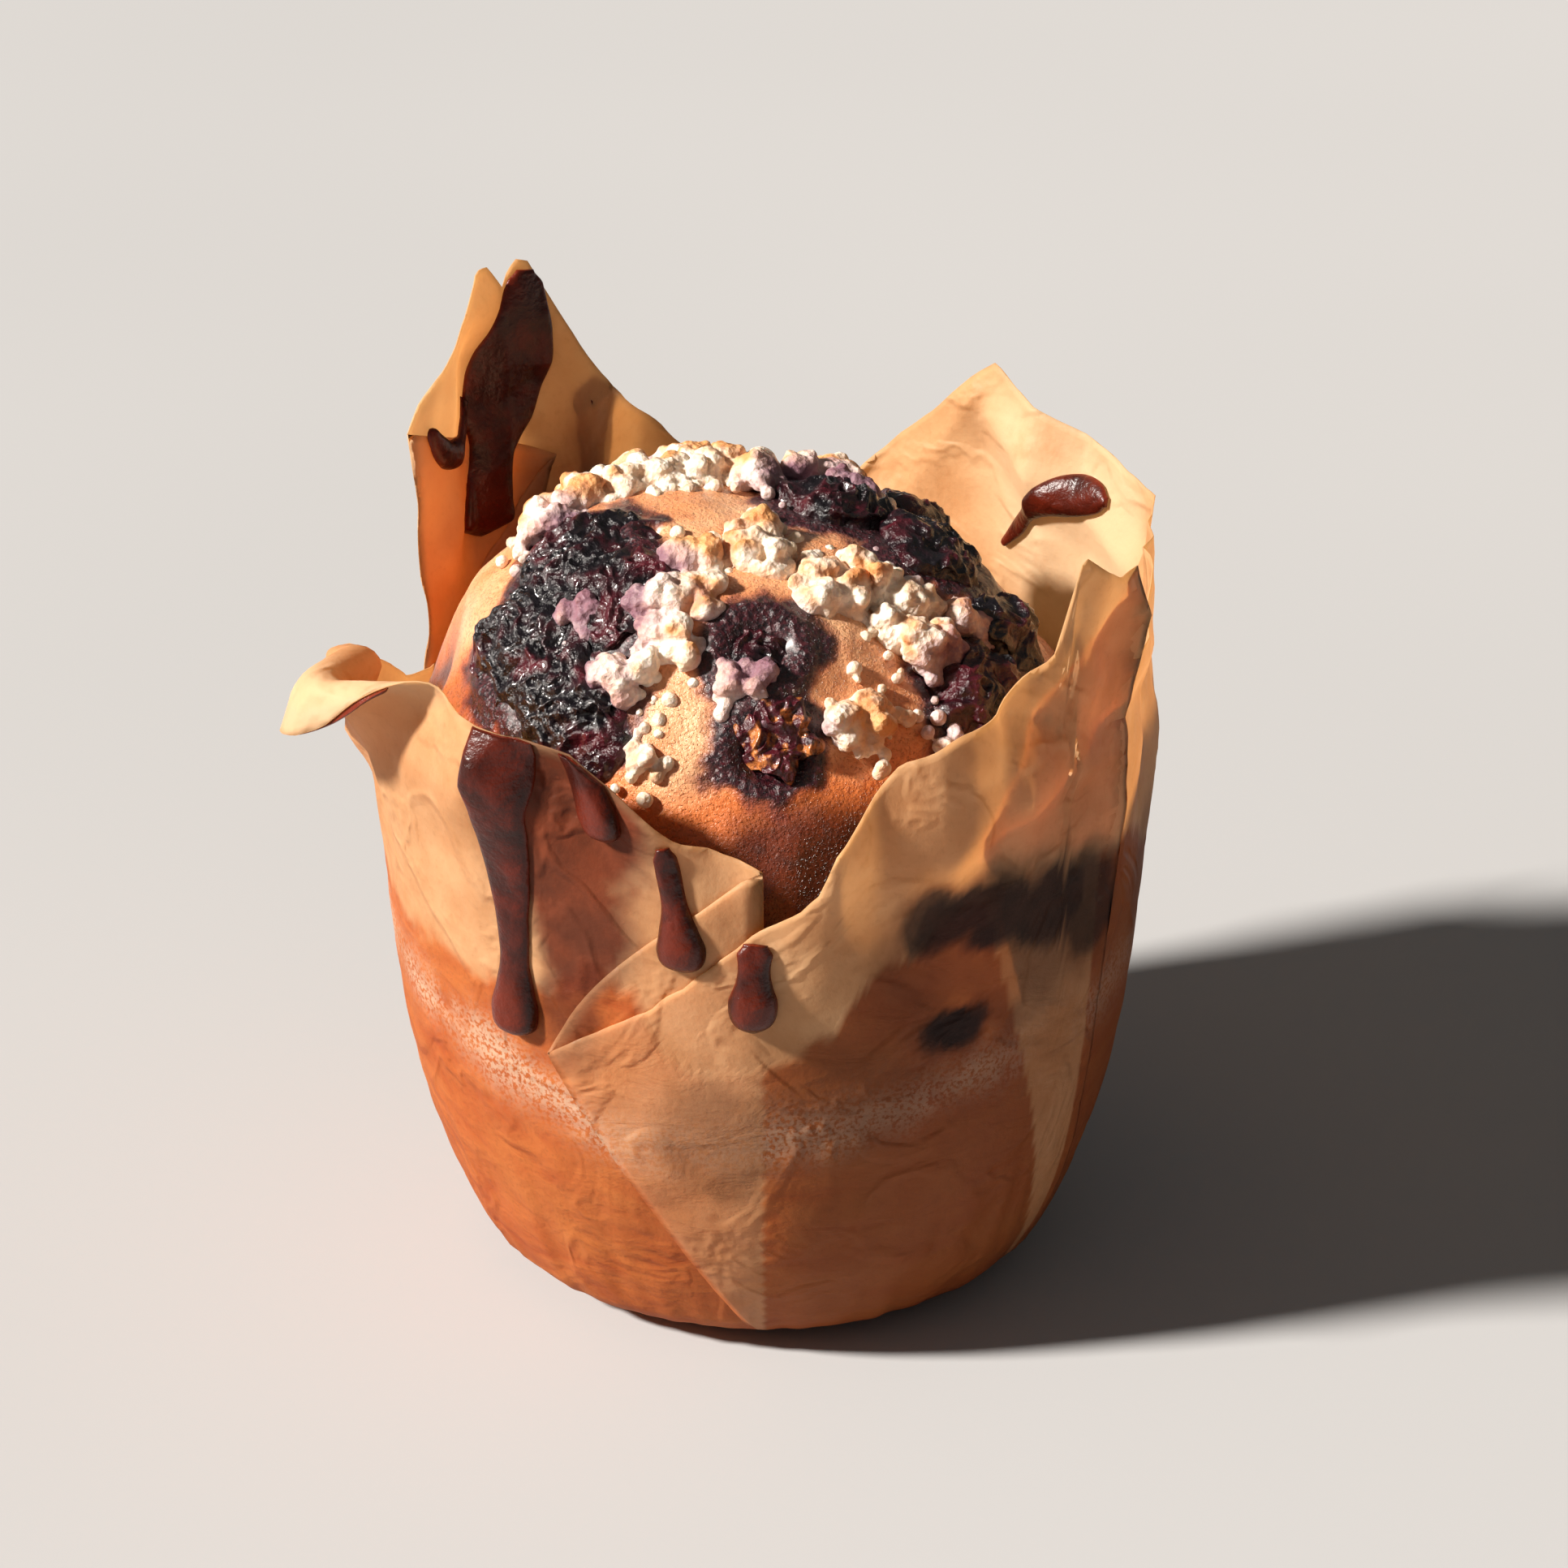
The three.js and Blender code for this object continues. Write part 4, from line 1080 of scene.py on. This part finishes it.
runs = [make_run(node, k + 1) for k, node in enumerate(sorted(CHOCOLATE_RUNS))]
print("chocolate:", len(runs), "runs")

# %% [markdown]
# ## Baking paper
#
# Brown greaseproof paper is dull with a slight waxy sheen. Fine fibres mottle it, and where crumb
# touches it from behind it turns orange-brown and shows the crumb's own grain. Light comes through the
# thin sheet, so a Translucent shader is mixed with the plain one.

# %% Paper finish
def paper_finish(name, light, dark):
    """One face of the paper, from the lighter and the darker of its plain colours."""
    f = Finish(name)
    fibre = f.noise(1400.0, 4.0, 0.6)
    mottle = f.noise(110.0, 5.0, 0.62)
    speck = f.noise(2300.0, 2.0, 0.6)
    blotch = f.noise(45.0, 3.0, 0.55)
    wrinkle = f.noise(260.0, 4.0, 0.6, f.stretch(0.6, 0.6, 1.3), 0.8)
    plain = f.mix(mottle.above(0.3, 0.72), dark, light)
    plain = f.mix(fibre.above(0.5, 0.75) * 0.18, plain, colour(170, 108, 58))
    crumb = f.mix(wrinkle.above(0.25, 0.75), colour(206, 104, 48), colour(226, 136, 70))
    crumb = f.mix(blotch.above(0.42, 0.66) * 0.4, crumb, colour(236, 160, 88))
    crumb = f.mix(speck.above(0.5, 0.7) * 0.25, crumb, colour(150, 70, 30))
    over = f.attribute("outer") * f.attribute("layers")
    # Painted shade: on the marked side away from the lamp the crumb seen through the paper is darker, and
    # the flour band fainter.
    crumb = f.mix(f.attribute("shaded_side") * 0.6, crumb, colour(140, 62, 28))
    veil = 0.95 - over * 0.6
    shown = f.mix(f.attribute("touch") * veil, plain, crumb)
    flour = f.attribute("flour") * speck.above(0.38, 0.56) * mottle.above(0.25, 0.55) * (0.9 - over * 0.5)
    flour = flour * (1 - f.attribute("shaded_side") * 0.55)
    shown = f.mix(flour, shown, colour(242, 218, 190))
    smear = f.attribute("cocoa")
    cocoa = f.mix(mottle.above(0.35, 0.65), colour(162, 78, 48), colour(122, 54, 34))
    shown = f.mix(smear * (0.95 - over * 0.3), shown, cocoa)
    wet = f.attribute("juice")
    juice = f.mix(mottle.above(0.3, 0.65), colour(30, 16, 20), colour(84, 44, 32))
    juice = f.mix(wet.above(0.4, 1.0), colour(140, 74, 40), juice)
    shown = f.mix(wet * 0.95, shown, juice)
    # painted light: the sunlit patches painted a pale cream
    shown = f.mix(f.attribute("pale") * mottle.above(0.1, 0.5), shown, colour(250, 226, 190))
    shown = f.mix(f.attribute("rim") * 0.3, shown, colour(236, 200, 150))
    rough_value = 0.6 - mottle * 0.22
    bend = f.noise(75.0, 3.0, 0.5, distortion=0.8)
    crinkle = bend.above(0.42, 0.5) * (1 - bend.above(0.5, 0.58))
    height = fibre * 0.4 + mottle * 0.7 + wrinkle * f.attribute("touch") * 1.6 + crinkle * 1.1
    normal = f.bump(height, 0.00025, 0.75)
    f.surface(Base_Color=shown, Roughness=rough_value, Normal=normal, Specular_IOR_Level=0.3)
    glow = f.mix((1 - wet) * (1 - smear) * 0.5, shown, colour(255, 222, 172))
    through = f.node("ShaderNodeBsdfTranslucent", None, Color=glow)
    mixed = f.node("ShaderNodeMixShader", None, 0.6, Value(f, f.shader.outputs[0]), through)
    f.link(f.output.inputs["Surface"], mixed)
    return f.material


paper.data.materials.append(paper_finish("baking paper", colour(244, 202, 154), colour(228, 176, 124)))
paper.data.materials.append(paper_finish("dry paper face", colour(242, 202, 154), colour(226, 176, 124)))
print("finish: baking paper, outside and inside")

# %% [markdown]
# ## Crumb
#
# The dome is golden where the sugar melted and browns towards the rim, and its lowest part is darkened
# further by painted shade. It is covered in fine open pores and sparkles where sugar crystals stand on
# it, and berry juice has stained it purple round the berries.

# %% Crumb finish
def crumb_finish():
    f = Finish("muffin crumb")
    cloud = f.noise(110.0, 4.0, 0.6)
    fine = f.noise(2400.0, 3.0, 0.6)
    coarse = f.noise(600.0, 4.0, 0.62)
    gold = f.mix(cloud.above(0.3, 0.7), colour(226, 146, 94), colour(244, 188, 140))
    gold = f.mix(coarse.above(0.5, 0.72) * 0.35, gold, colour(206, 108, 54))
    gold = f.mix(f.attribute("toast_and_shade").above(0.12, 0.55) * 0.85, gold, colour(222, 112, 38))
    # painted shade: the very dark brown at the dome's foot stands for shade as well as browning
    brown = f.mix(cloud.above(0.35, 0.7), colour(84, 30, 12), colour(124, 52, 20))
    brown = f.mix(coarse.above(0.5, 0.7) * 0.5, brown, colour(64, 24, 10))
    shown = f.mix(f.attribute("toast_and_shade").above(0.4, 0.95), gold, brown)
    wet = f.attribute("jam") + (coarse - 0.5) * 0.45
    edge = wet.above(0.34, 0.72)
    shown = f.mix(wet.above(0.08, 0.5) * 0.75, shown, colour(132, 58, 44))
    shown = f.mix(edge, shown, f.mix(fine.above(0.35, 0.65), colour(26, 8, 16), colour(70, 20, 28)))
    sugar = f.noise(3400.0, 2.0, 0.5).above(0.56, 0.66)
    rough_value = 0.4 - sugar * 0.26 + coarse.above(0.5, 0.7) * 0.16
    height = fine * 0.5 + coarse * 0.4 + sugar * 0.7 + f.cells(1300.0) * edge
    f.surface(Base_Color=shown, Roughness=rough_value, Normal=f.bump(height, 0.0004, 0.75))
    f.surface(Subsurface_Weight=0.1, Subsurface_Radius=(0.004, 0.0018, 0.0008), Subsurface_Scale=0.5)
    return f.surface(Coat_Weight=0.6, Coat_Roughness=0.32)


crumb_piece.data.materials.append(crumb_finish())
print("finish: crumb")

# %% [markdown]
# ## Berry skin
#
# The skin is nearly black with a purple cast, wet with juice. Light catches each crest, so the finish
# is mostly its gloss: low roughness, a clear coat and a fine pitted bump. The crests are also painted a
# lighter red: partly the juice's red tint, partly a painted highlight.

# %% Berry finish
def berry_finish():
    f = Finish("berry skin")
    fine = f.noise(1500.0, 4.0, 0.62)
    cloud = f.noise(130.0, 3.0, 0.6)
    shown = f.mix(cloud.above(0.45, 0.66), colour(13, 8, 14), colour(70, 13, 24))
    # partly painted highlight: the crests a lighter red, with the juice's own red tint
    shown = f.mix(f.attribute("crest").above(0.5, 1.0) * cloud.above(0.4, 0.62), shown, colour(84, 20, 32))
    shown = f.mix(f.attribute("dough") * fine.above(0.3, 0.6), shown, colour(198, 118, 58))
    rough_value = 0.2 + fine * 0.2
    height = fine + f.cells(1100.0) * 0.9
    f.surface(Base_Color=shown, Roughness=rough_value, Normal=f.bump(height, 0.0004, 0.8))
    return f.surface(Coat_Weight=0.4, Coat_Roughness=0.1)


berry_look = berry_finish()
for berry in berries:
    berry.data.materials.append(berry_look)
print("finish: berries")

# %% [markdown]
# ## Streusel finish
#
# Flour and sugar stay pale, the tips are toasted gold, deep hollows are darkened to a dull brown as painted
# shade, and juice turns a lump lilac grey where it touches a berry. The surface is sandy and dull, with a
# few bright sugar faces.

# %% Streusel finish
def streusel_finish():
    f = Finish("streusel")
    lump = f.noise(240.0, 2.0, 0.5)
    cloud = f.noise(520.0, 4.0, 0.6)
    sand = f.noise(3000.0, 3.0, 0.65)
    shown = f.mix(cloud.above(0.35, 0.7), colour(246, 232, 216), colour(236, 212, 184))
    gold = f.mix(cloud.above(0.4, 0.7), colour(222, 156, 92), colour(194, 116, 54))
    toasted = lump.above(0.4, 0.6) * (f.attribute("rise").above(0.0, 0.7) + 0.2)
    shown = f.mix(toasted * 0.8, shown, gold)
    # painted shade: the hollows of each lump darkened to a dull brown
    shown = f.mix(f.attribute("hollow_shade").above(0.45, 0.1) * 0.5, shown, colour(196, 150, 104))
    juice = f.attribute("jam") + (cloud - 0.5) * 0.8
    shown = f.mix(juice.above(0.1, 0.6) * 0.6, shown, colour(206, 178, 184))
    shown = f.mix(juice.above(0.5, 1.0) * 0.85, shown, colour(112, 68, 90))
    rough_value = 0.66 - sand.above(0.5, 0.7) * 0.3
    height = sand * 0.7 + f.cells(1700.0)
    f.surface(Base_Color=shown, Roughness=rough_value, Normal=f.bump(height, 0.0003, 0.7))
    return f.surface(Subsurface_Weight=0.2, Subsurface_Radius=(0.003, 0.002, 0.001), Subsurface_Scale=0.5)


streusel_look = streusel_finish()
for lump in streusel:
    lump.data.materials.append(streusel_look)
print("finish: streusel")

# %% [markdown]
# ## Chocolate finish
#
# Set chocolate is a dark brown with a satin skin. Where it ran thin the paper shows through and warms
# it, and the thick drops are painted a little lighter and redder, as painted light on the bulging drops.

# %% Chocolate finish
def chocolate_finish():
    f = Finish("set chocolate")
    cloud = f.noise(300.0, 4.0, 0.6)
    fine = f.noise(1600.0, 3.0, 0.6)
    thin = f.attribute("thick").above(0.7, 0.1)
    shown = f.mix(cloud.above(0.35, 0.7), colour(50, 14, 7), colour(86, 25, 11))
    shown = f.mix(thin * 0.8, shown, colour(112, 36, 14))
    # painted light: the thick drops lighter and redder, as where they catch the lamp
    shown = f.mix(f.attribute("thick").above(1.1, 1.9) * 0.6, shown, colour(100, 33, 15))
    rough_value = 0.22 + cloud * 0.22
    height = fine * 0.5 + cloud * 1.3
    f.surface(Base_Color=shown, Roughness=rough_value, Normal=f.bump(height, 0.0003, 0.7))
    return f.surface(Specular_IOR_Level=0.32)


chocolate_look = chocolate_finish()
for run in runs:
    run.data.materials.append(chocolate_look)
print("finish: chocolate")

# %% [markdown]
# ## Floor and light
#
# The stage is a plain pale floor. One soft lamp stands on the left like a low sun, and the sky is a
# dim warm white.

# %% Stage
FLOOR_HALF = 3000.0  # half the floor's width, in millimetres
SKY_STRENGTH = 0.11


def make_floor():
    """A wide plain square, its top at the height that the muffin stands on."""
    corners = FLOOR_HALF * np.array([(-1, -1, 0), (1, -1, 0), (1, 1, 0), (-1, 1, 0)], float)
    floor = make_piece("floor", corners, [np.array([[0, 1, 2, 3]])])
    f = Finish("pale floor")
    cloud = f.noise(3.0, 2.0, 0.5)
    shown = f.mix(cloud.above(0.3, 0.7), colour(178, 179, 180), colour(183, 184, 185))
    floor.data.materials.append(f.surface(Base_Color=shown, Roughness=0.9))


def make_sun(name, turn, rise, strength, softness, tint):
    """A far lamp that shines from a turn round the upright axis and a rise over the floor, in degrees."""
    lamp = add_object(name, bpy.data.lights.new(name, "SUN"))
    lamp.data.energy = strength
    lamp.data.angle = np.radians(softness)
    lamp.data.color = tint
    lamp.rotation_euler = (np.radians(90 - rise), 0, np.radians(turn + 90))


make_floor()
make_sun("key", turn=197, rise=36, strength=8.0, softness=6, tint=(1.0, 0.93, 0.86))
world = bpy.data.worlds.new("sky")
world.use_nodes = True
world.node_tree.nodes["Background"].inputs["Color"].default_value = (1.0, 0.97, 0.93, 1)
world.node_tree.nodes["Background"].inputs["Strength"].default_value = SKY_STRENGTH
bpy.context.scene.world = world
bpy.context.scene.view_settings.view_transform = "Standard"

# %% [markdown]
# ## The end
#
# The last cell prints one line to say that the script has run.

# %% Finish
print("done")
